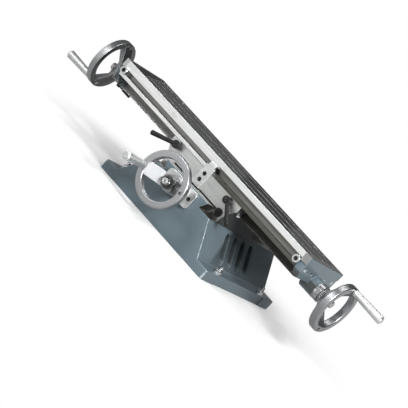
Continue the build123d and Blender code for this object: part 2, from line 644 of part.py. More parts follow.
with BuildPart() as y_feed_nut:
    with BuildSketch(Plane.XY.offset(SADDLE_CEILING - Y_NUT_HEIGHT)):
        with Locations((0, TABLE_Y)):
            Rectangle(Y_NUT_WIDTH, Y_NUT_LENGTH)
    extrude(amount=Y_NUT_HEIGHT)
    with BuildSketch(Plane.XZ.offset(-TABLE_Y)):
        with Locations((0, Y_SCREW_HEIGHT)):
            Circle(THREAD_DIAMETER / 2 + RUN_GAP)
    extrude(amount=Y_NUT_LENGTH / 2, both=True, mode=Mode.SUBTRACT)
    with Locations(Plane((0, TABLE_Y, SADDLE_CEILING - Y_NUT_HEIGHT), (1, 0, 0), (0, 0, -1))):
        with GridLocations(Y_NUT_WIDTH - 2 * NUT_SCREW_INSET, Y_NUT_LENGTH - 2 * NUT_SCREW_INSET, 2, 2):
            CounterBoreHole(NUT_SCREW / 2 + HOLE_GAP, NUT_SCREW_HEAD / 2 + HOLE_GAP,
                            Y_NUT_HEIGHT - NUT_FOOT, Y_NUT_HEIGHT)
y_feed_nut.part.label = "y_feed_nut"
export_step(y_feed_nut.part, "parts/y_feed_nut.step")

with BuildPart() as feed_nut_screws:
    for seat, upwards, length, width in (
        (SADDLE_FLOOR + NUT_FOOT, 1, X_NUT_LENGTH, X_NUT_WIDTH),
        (SADDLE_CEILING - NUT_FOOT, -1, Y_NUT_WIDTH, Y_NUT_LENGTH),
    ):
        for diameter, distance in (
            (NUT_SCREW_HEAD, upwards * NUT_SCREW_HEAD_HEIGHT),
            (NUT_SCREW, -upwards * (NUT_FOOT + NUT_SCREW_DEPTH)),
        ):
            with BuildSketch(Plane.XY.offset(seat)):
                with Locations((0, TABLE_Y)):
                    with GridLocations(length - 2 * NUT_SCREW_INSET, width - 2 * NUT_SCREW_INSET, 2, 2):
                        Circle(diameter / 2)
            extrude(amount=distance)
feed_nut_screws.part.label = "feed_nut_screws"
export_step(feed_nut_screws.part, "parts/feed_nut_screws.step")

# Stop block on the saddle: its tongue stands in the path of the two table stops
stop_screw_spots = [(0, rise) for rise in STOP_SCREW_RISES]
stop_block_face = SADDLE_FRONT - STOP_BLOCK_THICKNESS
stop_screw_plane = Plane((STOP_BLOCK_X, stop_block_face, SHOULDER_HEIGHT), (1, 0, 0), (0, -1, 0))
with BuildPart() as stop_block:
    shoulder = TABLE_BOTTOM + STOP_BLOCK_SHOULDER_RISE
    with BuildSketch(Plane.XZ.offset(-SADDLE_FRONT)):
        with BuildLine():
            Polyline(
                (STOP_BLOCK_X - STOP_BLOCK_WIDTH / 2, SHOULDER_HEIGHT + STOP_BLOCK_BOTTOM_RISE),
                (STOP_BLOCK_X + STOP_BLOCK_WIDTH / 2, SHOULDER_HEIGHT + STOP_BLOCK_BOTTOM_RISE),
                (STOP_BLOCK_X + STOP_BLOCK_WIDTH / 2, shoulder),
                (STOP_BLOCK_X + STOP_BLOCK_NECK / 2, shoulder),
                (STOP_BLOCK_X + STOP_BLOCK_NECK / 2, TABLE_BOTTOM + STOP_BLOCK_TOP_RISE),
                (STOP_BLOCK_X - STOP_BLOCK_NECK / 2, TABLE_BOTTOM + STOP_BLOCK_TOP_RISE),
                (STOP_BLOCK_X - STOP_BLOCK_NECK / 2, shoulder),
                (STOP_BLOCK_X - STOP_BLOCK_WIDTH / 2, shoulder),
                close=True,
            )
        make_face()
    extrude(amount=STOP_BLOCK_THICKNESS)
    chamfer(stop_block.faces().sort_by(Axis.Y)[0].edges(), EDGE_BREAK)
    # the back of the tongue is cut away so that the table passes behind it
    relief_bottom = SADDLE_TOP - STOP_BLOCK_CLEARANCE
    relief_height = TABLE_BOTTOM + STOP_BLOCK_TOP_RISE - relief_bottom
    with BuildSketch(Plane.XZ.offset(-SADDLE_FRONT)):
        with Locations((STOP_BLOCK_X, relief_bottom + relief_height / 2)):
            Rectangle(STOP_BLOCK_WIDTH, relief_height)
    extrude(amount=SADDLE_FRONT - TABLE_FRONT + STOP_BLOCK_CLEARANCE, mode=Mode.SUBTRACT)
    with Locations(stop_screw_plane):
        with Locations(*stop_screw_spots):
            CounterBoreHole(CAP_SCREW / 2 + HOLE_GAP, CAP_SCREW_HEAD / 2 + HOLE_GAP,
                            CAP_SCREW_HEAD_HEIGHT, STOP_BLOCK_THICKNESS)
stop_block.part.label = "stop_block"
export_step(stop_block.part, "parts/stop_block.step")

with BuildPart() as stop_block_screws:
    with Locations(stop_screw_plane):
        with Locations(*stop_screw_spots):
            add(cap_screw_head.part)
    with BuildSketch(stop_screw_plane.offset(-CAP_SCREW_HEAD_HEIGHT)):
        with Locations(*stop_screw_spots):
            Circle(CAP_SCREW / 2)
    extrude(amount=-shank_length(STOP_BLOCK_THICKNESS))
stop_block_screws.part.label = "stop_block_screws"
export_step(stop_block_screws.part, "parts/stop_block_screws.step")

# Clamp lever in its own frame: a hub, and a thickening arm that leans away from the saddle
with BuildPart() as clamp_lever:
    with BuildSketch(Plane.XY.offset(FACE_GAP)):
        Circle(LEVER_HUB / 2)
    extrude(amount=LEVER_HUB_LENGTH)
    fillet(clamp_lever.faces().sort_by(Axis.Z)[-1].edges(), 2 * EDGE_BREAK)
    lean = radians(LEVER_TILT)
    arm_frame = Plane((0, 0, LEVER_ARM_RISE), (0, 1, 0), (cos(lean), 0, sin(lean)))
    with BuildSketch(arm_frame):
        Circle(LEVER_ROOT / 2)
    with BuildSketch(arm_frame.offset(LEVER_ARM_LENGTH)):
        Circle(LEVER_END / 2)
    loft()
    fillet(clamp_lever.edges().sort_by(Axis.X)[-1], LEVER_END / 3)
    with BuildSketch():
        Circle(LEVER_STUD / 2 + HOLE_GAP)
    extrude(amount=LEVER_HUB_LENGTH + FACE_GAP, mode=Mode.SUBTRACT)

# Each lever turns a socket-headed stud that presses on the gib through the saddle's wall
for name, x, angle in (
    ("left", LEFT_LEVER_X, LEFT_LEVER_ANGLE),
    ("right", RIGHT_LEVER_X, RIGHT_LEVER_ANGLE),
):
    arm_direction = (cos(radians(angle)), 0, sin(radians(angle)))
    lever_frame = Plane((x, SADDLE_FRONT, lever_height), arm_direction, (0, -1, 0))
    with BuildPart() as placed_lever:
        with Locations(lever_frame):
            add(clamp_lever.part)
    placed_lever.part.label = f"{name}_clamp_lever"
    export_step(placed_lever.part, f"parts/{name}_clamp_lever.step")

    with BuildPart() as clamp_stud:
        with BuildSketch(lever_frame.offset(-stud_reach)):
            Circle(LEVER_STUD / 2)
        extrude(amount=stud_reach + LEVER_HUB_LENGTH)
        with BuildSketch(lever_frame.offset(LEVER_HUB_LENGTH)):
            RegularPolygon(STUD_SOCKET / 2, 6, major_radius=False)
        extrude(amount=-STUD_SOCKET, mode=Mode.SUBTRACT)
    clamp_stud.part.label = f"{name}_clamp_stud"
    export_step(clamp_stud.part, f"parts/{name}_clamp_stud.step")

# Work table: T-slots above, stop groove in front, dovetail way and screw channel below
bracket_screw_spots = [
    (side * offset, rise)
    for side in (1, -1)
    for offset, rise in ((UPPER_SCREW_OFFSET, UPPER_SCREW_RISE), (LOWER_SCREW_OFFSET, LOWER_SCREW_RISE))
]
with BuildPart() as table_top:
    x_way_root = X_WAY_BOTTOM_WIDTH / 2 - X_WAY_HEIGHT * WAY_SLOPE
    with BuildSketch(Plane.YZ.offset(TABLE_X)):
        with Locations((TABLE_Y, TABLE_BOTTOM + TABLE_THICKNESS / 2)):
            slab = Rectangle(TABLE_WIDTH, TABLE_THICKNESS)
        chamfer(slab.vertices(), EDGE_BREAK)
        with BuildLine():
            Polyline(
                (TABLE_Y - x_way_root, TABLE_BOTTOM),
                (TABLE_Y + x_way_root, TABLE_BOTTOM),
                (TABLE_Y + X_WAY_BOTTOM_WIDTH / 2, X_WAY_BOTTOM),
                (TABLE_Y - X_WAY_BOTTOM_WIDTH / 2, X_WAY_BOTTOM),
                close=True,
            )
        make_face()
        with Locations((TABLE_Y, X_WAY_BOTTOM + CHANNEL_HEIGHT / 2)):
            Rectangle(CHANNEL_WIDTH, CHANNEL_HEIGHT, mode=Mode.SUBTRACT)
        with Locations((TABLE_Y, TABLE_TOP - T_SLOT_NECK_DEPTH / 2)):
            with GridLocations(T_SLOT_PITCH, 0, T_SLOT_COUNT, 1):
                Rectangle(T_SLOT_NECK, T_SLOT_NECK_DEPTH, mode=Mode.SUBTRACT)
        with Locations((TABLE_Y, TABLE_TOP - T_SLOT_NECK_DEPTH - T_SLOT_WIDE_DEPTH / 2)):
            with GridLocations(T_SLOT_PITCH, 0, T_SLOT_COUNT, 1):
                Rectangle(T_SLOT_WIDE, T_SLOT_WIDE_DEPTH, mode=Mode.SUBTRACT)
        with Locations((TABLE_FRONT + GROOVE_NECK_DEPTH / 2, TABLE_BOTTOM + GROOVE_RISE)):
            Rectangle(GROOVE_NECK_DEPTH, GROOVE_NECK, mode=Mode.SUBTRACT)
        groove_middle = TABLE_FRONT + GROOVE_NECK_DEPTH + GROOVE_WIDE_DEPTH / 2
        with Locations((groove_middle, TABLE_BOTTOM + GROOVE_RISE)):
            Rectangle(GROOVE_WIDE_DEPTH, GROOVE_WIDE, mode=Mode.SUBTRACT)
    extrude(amount=TABLE_LENGTH / 2, both=True)
    for x, inward in ((TABLE_RIGHT, -1), (TABLE_LEFT, 1)):
        with BuildSketch(Plane.YZ.offset(x)):
            with Locations((TABLE_Y, TABLE_BOTTOM)):
                with Locations(*bracket_screw_spots):
                    Circle(CAP_SCREW / 2 + HOLE_GAP)
        extrude(amount=inward * CAP_SCREW_GRIP, mode=Mode.SUBTRACT)
table_top.part.label = "table_top"
export_step(table_top.part, "parts/table_top.step")

# End brackets: flush with the table on top, a keel below that carries the screw's boss
for name, inner_face, outward, thickness in (
    ("right", TABLE_RIGHT, 1, RIGHT_BRACKET_THICKNESS),
    ("left", TABLE_LEFT, -1, LEFT_BRACKET_THICKNESS),
):
    outer_face = inner_face + outward * thickness
    half = TABLE_WIDTH / 2
    with BuildPart() as end_bracket:
        with BuildSketch(Plane((inner_face, TABLE_Y, 0), (0, 1, 0), (1, 0, 0))):
            with BuildLine():
                Polyline(
                    (0, TABLE_TOP),
                    (half, TABLE_TOP),
                    (half, TABLE_TOP - BRACKET_LIP),
                    (half - BRACKET_SET_BACK, TABLE_TOP - BRACKET_LIP),
                    (half - BRACKET_SET_BACK, TABLE_BOTTOM),
                    (BRACKET_KEEL_WIDTH / 2, TABLE_BOTTOM - BRACKET_KEEL_DROP),
                    (0, TABLE_BOTTOM - BRACKET_KEEL_DROP),
                )
                mirror(about=Plane.YZ)
            make_face()
        extrude(amount=outward * thickness)
        outer = end_bracket.faces().sort_by(Axis.X)[-1 if outward > 0 else 0]
        fillet(outer.edges(), BRACKET_ROUNDING)
        with BuildSketch(Plane.YZ.offset(inner_face)):
            with Locations((TABLE_Y, X_SCREW_HEIGHT)):
                Circle(BOSS_DIAMETER / 2)
        extrude(amount=outward * (thickness + BOSS_LENGTH))
        with BuildSketch(Plane.YZ.offset(inner_face)):
            with Locations((TABLE_Y, X_SCREW_HEIGHT)):
                Circle(BUSH_DIAMETER / 2 + HOLE_GAP)
        extrude(amount=outward * (thickness + BOSS_LENGTH), mode=Mode.SUBTRACT)
        for diameter, depth in ((CAP_SCREW, thickness), (CAP_SCREW_HEAD, CAP_SCREW_HEAD_HEIGHT)):
            with BuildSketch(Plane.YZ.offset(outer_face)):
                with Locations((TABLE_Y, TABLE_BOTTOM)):
                    with Locations(*bracket_screw_spots):
                        Circle(diameter / 2 + HOLE_GAP)
            extrude(amount=-outward * depth, mode=Mode.SUBTRACT)
        if name == "left":
            with BuildSketch(Plane.XY.offset(TABLE_BOTTOM - BRACKET_KEEL_DROP)):
                with Locations((inner_face - thickness / 2, TABLE_Y - LOCK_Y_OFFSET)):
                    Circle(LOCK_SPINDLE / 2 + RUN_GAP)
            extrude(amount=LOCK_SPINDLE_DEPTH, mode=Mode.SUBTRACT)
    end_bracket.part.label = f"{name}_end_bracket"
    export_step(end_bracket.part, f"parts/{name}_end_bracket.step")

    screw_plane = Plane((outer_face, TABLE_Y, TABLE_BOTTOM), (0, outward, 0), (outward, 0, 0))
    with BuildPart() as bracket_screws:
        with Locations(screw_plane):
            with Locations(*bracket_screw_spots):
                add(cap_screw_head.part)
        with BuildSketch(screw_plane.offset(-CAP_SCREW_HEAD_HEIGHT)):
            with Locations(*bracket_screw_spots):
                Circle(CAP_SCREW / 2)
        extrude(amount=-shank_length(thickness))
    bracket_screws.part.label = f"{name}_bracket_screws"
    export_step(bracket_screws.part, f"parts/{name}_bracket_screws.step")

    # a flanged bush takes the screw's push against the inside of the bracket
    with BuildPart() as screw_bush:
        for start, end, diameter in (
            (inner_face, outer_face + outward * BOSS_LENGTH, BUSH_DIAMETER),
            (inner_face, inner_face - outward * BUSH_FLANGE_THICKNESS, BUSH_FLANGE),
        ):
            with BuildSketch(Plane.YZ.offset(start)):
                with Locations((TABLE_Y, X_SCREW_HEIGHT)):
                    Circle(diameter / 2)
                    Circle(JOURNAL_DIAMETER / 2 + RUN_GAP, mode=Mode.SUBTRACT)
            extrude(amount=end - start)
    screw_bush.part.label = f"{name}_screw_bush"
    export_step(screw_bush.part, f"parts/{name}_screw_bush.step")

# Plain bushes of the cross screw: one in the plate, one in the base's rear wall
front_bush_end = BASE_FRONT + PLATE_SPIGOT_LENGTH
rear_bush_start = NUT_SLOT_LENGTH / 2
for name, start, end in (
    ("front", PLATE_FACE - BOSS_LENGTH, front_bush_end),
    ("rear", rear_bush_start, BASE_DEPTH / 2),
):
    with BuildPart() as cross_bush:
        with BuildSketch(Plane.XZ.offset(-start)):
            with Locations((0, Y_SCREW_HEIGHT)):
                Circle(BUSH_DIAMETER / 2)
                Circle(JOURNAL_DIAMETER / 2 + RUN_GAP, mode=Mode.SUBTRACT)
        extrude(amount=start - end)
    cross_bush.part.label = f"{name}_cross_bush"
    export_step(cross_bush.part, f"parts/{name}_cross_bush.step")

# Lead screws: thread, journals and the studs that carry the handwheels
with BuildPart() as x_leadscrew:
    thread_left = TABLE_LEFT + BUSH_FLANGE_THICKNESS + FACE_GAP
    thread_right = TABLE_RIGHT - BUSH_FLANGE_THICKNESS - FACE_GAP
    left_face = TABLE_LEFT - LEFT_BRACKET_THICKNESS
    right_face = TABLE_RIGHT + RIGHT_BRACKET_THICKNESS
    for start, end, diameter in (
        (left_face - STUD_END, left_face - HUB_START, STUD_DIAMETER),
        (left_face - HUB_START, thread_left, JOURNAL_DIAMETER),
        (thread_left, thread_right, THREAD_DIAMETER),
        (thread_right, right_face + HUB_START, JOURNAL_DIAMETER),
        (right_face + HUB_START, right_face + STUD_END, STUD_DIAMETER),
    ):
        with BuildSketch(Plane.YZ.offset(start)):
            with Locations((TABLE_Y, X_SCREW_HEIGHT)):
                Circle(diameter / 2)
        extrude(amount=end - start)
    for screw_end in (LEFT_END, RIGHT_END):
        with BuildSketch(screw_end.offset(STUD_END)):
            RegularPolygon(STUD_KEY / 2, 6, major_radius=False)
        extrude(amount=-STUD_KEY, mode=Mode.SUBTRACT)
x_leadscrew.part.label = "x_leadscrew"
export_step(x_leadscrew.part, "parts/x_leadscrew.step")

with BuildPart() as y_leadscrew:
    thread_front = front_bush_end + FACE_GAP
    thread_rear = rear_bush_start - FACE_GAP
    for start, end, diameter in (
        (PLATE_FACE - STUD_END, PLATE_FACE - HUB_START, STUD_DIAMETER),
        (PLATE_FACE - HUB_START, thread_front, JOURNAL_DIAMETER),
        (thread_front, thread_rear, THREAD_DIAMETER),
        (thread_rear, BASE_DEPTH / 2, JOURNAL_DIAMETER),
    ):
        with BuildSketch(Plane.XZ.offset(-start)):
            with Locations((0, Y_SCREW_HEIGHT)):
                Circle(diameter / 2)
        extrude(amount=start - end)
    with BuildSketch(FRONT_END.offset(STUD_END)):
        RegularPolygon(STUD_KEY / 2, 6, major_radius=False)
    extrude(amount=-STUD_KEY, mode=Mode.SUBTRACT)
y_leadscrew.part.label = "y_leadscrew"
export_step(y_leadscrew.part, "parts/y_leadscrew.step")

# Dial: a graduated drum and a knurled flange to turn it by
with BuildPart() as dial:
    start = DIAL_START
    for diameter, length in (
        (DIAL_DIAMETER, DIAL_DRUM_LENGTH),
        (DIAL_NECK, DIAL_NECK_LENGTH),
        (DIAL_FLANGE, DIAL_FLANGE_LENGTH),
    ):
        with BuildSketch(Plane.XY.offset(start)):
            Circle(diameter / 2)
            Circle(JOURNAL_DIAMETER / 2 + RUN_GAP, mode=Mode.SUBTRACT)
        extrude(amount=length)
        start += length

# Handwheel: a round-backed rim carried well forward of the hub by a dished two-armed bar
with BuildPart() as handwheel:
    with BuildSketch(Plane.XZ):
        with Locations((WHEEL_DIAMETER / 2 - RIM_RADIAL / 2, RIM_BACK + RIM_AXIAL / 2)):
            rim_section = Rectangle(RIM_RADIAL, RIM_AXIAL)
        back_corner = rim_section.vertices().group_by(Axis.Z)[0].sort_by(Axis.X)[-1]
        front_corners = rim_section.vertices().group_by(Axis.Z)[-1]
        fillet(front_corners, RIM_ROUNDING)
        fillet(back_corner, RIM_BACK_ROUNDING)
    revolve(axis=Axis.Z)
    with BuildSketch(Plane.XZ):
        bar_end = WHEEL_DIAMETER / 2 - BAR_END_INSET
        with BuildLine():
            Polyline(
                (0, HUB_START),
                (BAR_KNEE, HUB_START),
                (BAR_BACK_RADIUS, RIM_BACK),
                (bar_end, RIM_BACK + RIM_BACK_ROUNDING),
                (bar_end, RIM_FACE),
                (BAR_LAND_RADIUS, RIM_FACE),
                (BAR_KNEE, HUB_START + BAR_THICKNESS),
                (0, HUB_START + BAR_THICKNESS),
            )
            mirror(about=Plane.YZ)
        make_face()
    extrude(amount=BAR_WIDTH / 2, both=True)
    with BuildSketch(Plane.XY.offset(HUB_START)):
        Circle(HUB_DIAMETER / 2)
    extrude(amount=HUB_LENGTH)
    with BuildSketch(Plane.XY.offset(HUB_START)):
        Circle(STUD_DIAMETER / 2 + HOLE_GAP)
    extrude(amount=HUB_LENGTH, mode=Mode.SUBTRACT)
    # the handle's hole, and an unused one at the bar's other end
    with BuildSketch(Plane.XY.offset(HUB_START)):
        with GridLocations(2 * HANDLE_RADIUS, 0, 2, 1):
            Circle(PIN_DIAMETER / 2 + HOLE_GAP)
    extrude(amount=RIM_REACH, mode=Mode.SUBTRACT)

# Flanged hexagon nut that holds the wheel on the screw's stud
with BuildPart() as wheel_nut:
    with BuildSketch(Plane.XY.offset(HUB_FACE)):
        Circle(WHEEL_NUT_FLANGE / 2)
    extrude(amount=WHEEL_NUT_FLANGE_HEIGHT)
    with BuildSketch(Plane.XY.offset(HUB_FACE)):
        RegularPolygon(WHEEL_NUT_ACROSS / 2, 6, major_radius=False)
    extrude(amount=WHEEL_NUT_HEIGHT)
    chamfer(wheel_nut.faces().sort_by(Axis.Z)[-1].edges(), EDGE_BREAK)
    with BuildSketch(Plane.XY.offset(HUB_FACE)):
        Circle(STUD_DIAMETER / 2 + HOLE_GAP)
    extrude(amount=WHEEL_NUT_HEIGHT, mode=Mode.SUBTRACT)

# Shoulder pin of a handle: collar on the rim, slotted head sunk in the handle's end
with BuildPart() as handle_pin:
    for start, end, diameter in (
        (RIM_BACK + RIM_ROUNDING, GRIP_END - PIN_HEAD_HEIGHT, PIN_DIAMETER),
        (RIM_FACE, RIM_FACE + PIN_COLLAR_HEIGHT, PIN_COLLAR),
        (GRIP_END - PIN_HEAD_HEIGHT, GRIP_END, PIN_HEAD),
    ):
        with BuildSketch(Plane.XY.offset(start)):
            with Locations((HANDLE_RADIUS, 0)):
                Circle(diameter / 2)
        extrude(amount=end - start)
    fillet(handle_pin.faces().sort_by(Axis.Z)[-1].edges(), EDGE_BREAK)
    with BuildSketch(Plane.XY.offset(GRIP_END)):
        with Locations((HANDLE_RADIUS, 0)):
            Rectangle(PIN_HEAD, PIN_SLOT)
    extrude(amount=-PIN_SLOT, mode=Mode.SUBTRACT)

# Revolving grip: thickens towards a rounded end
with BuildPart() as handle_grip:
    with BuildSketch(Plane.XZ):
        with BuildLine():
            swell = GRIP_END_DIAMETER / 2
            Polyline(
                (HANDLE_RADIUS, GRIP_END),
                (HANDLE_RADIUS, GRIP_START),
                (HANDLE_RADIUS + GRIP_ROOT_DIAMETER / 2, GRIP_START),
                (HANDLE_RADIUS + swell, GRIP_END - GRIP_END_ROUNDING),
            )
            RadiusArc(
                (HANDLE_RADIUS + swell, GRIP_END - GRIP_END_ROUNDING),
                (HANDLE_RADIUS + swell - GRIP_END_ROUNDING, GRIP_END),
                GRIP_END_ROUNDING,
            )
            Line((HANDLE_RADIUS + swell - GRIP_END_ROUNDING, GRIP_END), (HANDLE_RADIUS, GRIP_END))
        make_face()
    revolve(axis=Axis((HANDLE_RADIUS, 0, 0), (0, 0, 1)))
    with BuildSketch(Plane.XY.offset(GRIP_START)):
        with Locations((HANDLE_RADIUS, 0)):
            Circle(PIN_DIAMETER / 2 + RUN_GAP)
    extrude(amount=GRIP_LENGTH, mode=Mode.SUBTRACT)
    with BuildSketch(Plane.XY.offset(GRIP_END)):
        with Locations((HANDLE_RADIUS, 0)):
            Circle(PIN_HEAD / 2 + RUN_GAP)
    extrude(amount=-PIN_HEAD_HEIGHT - FACE_GAP, mode=Mode.SUBTRACT)

# The same five pieces stand on each of the three screw ends
for name, end_frame in (("right", RIGHT_END), ("left", LEFT_END), ("cross", FRONT_END)):
    for piece, pattern in (
        ("dial", dial),
        ("handwheel", handwheel),
        ("wheel_nut", wheel_nut),
        ("handle_pin", handle_pin),
        ("handle_grip", handle_grip),
    ):
        with BuildPart() as placed:
            with Locations(end_frame):
                add(pattern.part)
        placed.part.label = f"{name}_{piece}"
        export_step(placed.part, f"parts/{name}_{piece}.step")

# Table stops: a ring on the groove's T-nut, set near each end of the table
groove_depth = GROOVE_NECK_DEPTH + GROOVE_WIDE_DEPTH
for name, x in (("left", TABLE_LEFT + STOP_INSET), ("right", TABLE_RIGHT - STOP_INSET)):
    stop_frame = Plane((x, TABLE_FRONT, TABLE_BOTTOM + GROOVE_RISE), (1, 0, 0), (0, -1, 0))
    ring_face = stop_frame.offset(SLIDE_GAP + STOP_THICKNESS)
    with BuildPart() as stop_ring:
        with BuildSketch(stop_frame.offset(SLIDE_GAP)):
            Circle(STOP_DIAMETER / 2)
        extrude(amount=STOP_THICKNESS)
        chamfer(stop_ring.faces().sort_by(Axis.Y)[0].edges(), EDGE_BREAK)
        with Locations(ring_face):
            CounterBoreHole(CAP_SCREW / 2 + HOLE_GAP, CAP_SCREW_HEAD / 2 + HOLE_GAP,
                            CAP_SCREW_HEAD_HEIGHT, STOP_THICKNESS)
    stop_ring.part.label = f"{name}_stop_ring"
    export_step(stop_ring.part, f"parts/{name}_stop_ring.step")

    with BuildPart() as stop_screw:
        with Locations(ring_face):
            add(cap_screw_head.part)
        with BuildSketch(ring_face.offset(-CAP_SCREW_HEAD_HEIGHT)):
            Circle(CAP_SCREW / 2)
        extrude(amount=CAP_SCREW_HEAD_HEIGHT - STOP_THICKNESS - groove_depth)
    stop_screw.part.label = f"{name}_stop_screw"
    export_step(stop_screw.part, f"parts/{name}_stop_screw.step")

    with BuildPart() as stop_nut:
        for length, width in (
            (GROOVE_WIDE_DEPTH - 2 * SLIDE_GAP, GROOVE_WIDE),
            (groove_depth - SLIDE_GAP, GROOVE_NECK),
        ):
            with BuildSketch(stop_frame.offset(SLIDE_GAP - groove_depth)):
                Rectangle(STOP_NUT_LENGTH, width - 2 * SLIDE_GAP)
            extrude(amount=length)
        with BuildSketch(stop_frame):
            Circle(CAP_SCREW / 2 + HOLE_GAP)
        extrude(amount=-groove_depth, mode=Mode.SUBTRACT)
    stop_nut.part.label = f"{name}_stop_nut"
    export_step(stop_nut.part, f"parts/{name}_stop_nut.step")

# Screw lock: a spindle in the left bracket with a thin rod and a small grip
lock_x = TABLE_LEFT - LEFT_BRACKET_THICKNESS / 2
lock_y = TABLE_Y - LOCK_Y_OFFSET
lock_top = TABLE_BOTTOM - BRACKET_KEEL_DROP - FACE_GAP
lock_rod_height = lock_top - LOCK_HUB_LENGTH + LOCK_ROD
with BuildPart() as lock_spindle:
    with BuildSketch(Plane.XY.offset(lock_top)):
        with Locations((lock_x, lock_y)):
            Circle(LOCK_HUB / 2)
    extrude(amount=-LOCK_HUB_LENGTH)
    with BuildSketch(Plane.XY.offset(lock_top)):
        with Locations((lock_x, lock_y)):
            Circle(LOCK_SPINDLE / 2)
    extrude(amount=LOCK_SPINDLE_DEPTH)
    with BuildSketch(Plane.YZ.offset(lock_x)):
        with Locations((lock_y, lock_rod_height)):
            Circle(LOCK_ROD / 2)
    extrude(amount=LOCK_ROD_LENGTH + LOCK_GRIP_LENGTH / 2)
lock_spindle.part.label = "lock_spindle"
export_step(lock_spindle.part, "parts/lock_spindle.step")

with BuildPart() as lock_grip:
    with BuildSketch(Plane.YZ.offset(lock_x + LOCK_ROD_LENGTH)):
        with Locations((lock_y, lock_rod_height)):
            Circle(LOCK_GRIP / 2)
    extrude(amount=LOCK_GRIP_LENGTH)
    fillet(lock_grip.edges().filter_by(GeomType.CIRCLE), LOCK_GRIP / 4)
    with BuildSketch(Plane.YZ.offset(lock_x + LOCK_ROD_LENGTH)):
        with Locations((lock_y, lock_rod_height)):
            Circle(LOCK_ROD / 2 + HOLE_GAP)
    extrude(amount=LOCK_GRIP_LENGTH / 2, mode=Mode.SUBTRACT)
lock_grip.part.label = "lock_grip"
export_step(lock_grip.part, "parts/lock_grip.step")
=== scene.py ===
"""Looks of the cross slide table: finishes, engraved dials, light, floor and the photograph's camera.

Metres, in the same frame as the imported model: +X along the table, -Y towards the operator, +Z up.
"""
import json
from math import cos, pi, radians, sin

import bpy
from mathutils import Matrix, Vector

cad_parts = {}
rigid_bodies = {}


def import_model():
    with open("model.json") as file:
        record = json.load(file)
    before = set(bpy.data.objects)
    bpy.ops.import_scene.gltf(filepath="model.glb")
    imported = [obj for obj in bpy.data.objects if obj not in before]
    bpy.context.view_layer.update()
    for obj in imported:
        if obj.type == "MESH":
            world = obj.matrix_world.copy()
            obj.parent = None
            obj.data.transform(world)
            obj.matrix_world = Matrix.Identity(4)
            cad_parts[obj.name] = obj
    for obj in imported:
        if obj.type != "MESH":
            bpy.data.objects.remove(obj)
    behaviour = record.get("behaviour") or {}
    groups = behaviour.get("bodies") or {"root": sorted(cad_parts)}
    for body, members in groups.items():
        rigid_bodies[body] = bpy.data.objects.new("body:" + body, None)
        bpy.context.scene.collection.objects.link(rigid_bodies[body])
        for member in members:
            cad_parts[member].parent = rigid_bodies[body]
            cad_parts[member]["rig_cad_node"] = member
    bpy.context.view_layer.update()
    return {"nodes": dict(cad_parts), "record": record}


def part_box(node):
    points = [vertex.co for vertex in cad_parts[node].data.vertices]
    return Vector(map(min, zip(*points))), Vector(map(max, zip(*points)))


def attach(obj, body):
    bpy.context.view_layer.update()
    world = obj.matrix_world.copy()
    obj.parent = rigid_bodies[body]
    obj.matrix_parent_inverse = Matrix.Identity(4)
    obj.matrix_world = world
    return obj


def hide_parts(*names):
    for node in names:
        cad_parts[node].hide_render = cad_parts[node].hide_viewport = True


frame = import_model()

# Places that the finishes are centred on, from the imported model
TABLE_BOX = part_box("table_top")
TABLE_LEFT = TABLE_BOX[0].x
TABLE_FRONT = TABLE_BOX[0].y
TABLE_REAR = TABLE_BOX[1].y
TABLE_MIDDLE = (TABLE_FRONT + TABLE_REAR) / 2
TABLE_TOP = TABLE_BOX[1].z
X_SCREW_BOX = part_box("x_leadscrew")
X_SCREW_CENTRE = (X_SCREW_BOX[0] + X_SCREW_BOX[1]) / 2
Y_SCREW_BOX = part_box("y_leadscrew")
Y_SCREW_CENTRE = (Y_SCREW_BOX[0] + Y_SCREW_BOX[1]) / 2
RIGHT_BOSS_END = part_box("right_end_bracket")[1].x
LEFT_BOSS_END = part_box("left_end_bracket")[0].x
PLATE_BOSS_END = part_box("y_bearing_plate")[0].y

# Sizes of the solids that the finishes follow
SHOULDER_HEIGHT = 0.129
FLANGE_HEIGHT = 0.0345
SADDLE_PAINT_TOP = 0.191
SADDLE_SLOT_HALF = 0.113
TABLE_UNDERSIDE = 0.20905
T_SLOT_PITCH = 0.075
SCREW_LEAD = 0.005
THREAD_RADIUS = 0.011
CENTRE_HOLE_RADIUS = 0.0024
BOSS_RADIUS = 0.027
DIAL_RADIUS = 0.0265
DIAL_DRUM = 0.018
WHEEL_HUB_RADIUS = 0.022
WHEEL_ARM_REACH = 0.060
WHEEL_NUT_HEIGHT = 0.015
WHEEL_NUT_FLANGE = 0.0032

# Where a thread's groove rises, as shares of half its lead
THREAD_FLANK = (0.25, 0.60)

# How far inside a face a place still counts as that face
SKIN = 0.0008
FINE_SKIN = 0.0005

# Ridged ends of the hold-down studs
BOLT_X = 0.216
BOLT_Y = 0.150
STUD_RADIUS = 0.0058
STUD_RIDGE = 0.0009
STUD_RIDGES = 6
STUD_ROOT_SHARE = 0.90
STUD_SINK = 0.0002
STUD_CORNERS = 24

# Lines of the dials: how many, length as a share of the drum, half width as a share of the pitch
LINES = 100
FIFTH_LINES = 20
TENTH_LINES = 10
LINE_LENGTH = 0.28
FIFTH_LINE_LENGTH = 0.42
TENTH_LINE_LENGTH = 0.55
LINE_HALF_WIDTH = 0.085
FIFTH_LINE_HALF_WIDTH = 0.022
TENTH_LINE_HALF_WIDTH = 0.014

# Knurl, numerals and zero marks of the dials
KNURL_START = 1.25
KNURL_BAND = 0.003
KNURL_ROUND = 90
KNURL_ALONG = 4200
DIAL_NUMBER_SIZE = 0.0046
DIAL_NUMBER_CAPITAL = 0.0033
DIAL_NUMBER_THICKNESS = 0.00006
DIAL_NUMBER_SHARE = 0.76
ZERO_MARK_LENGTH = 0.007
ZERO_MARK_HALF_WIDTH = 0.0003

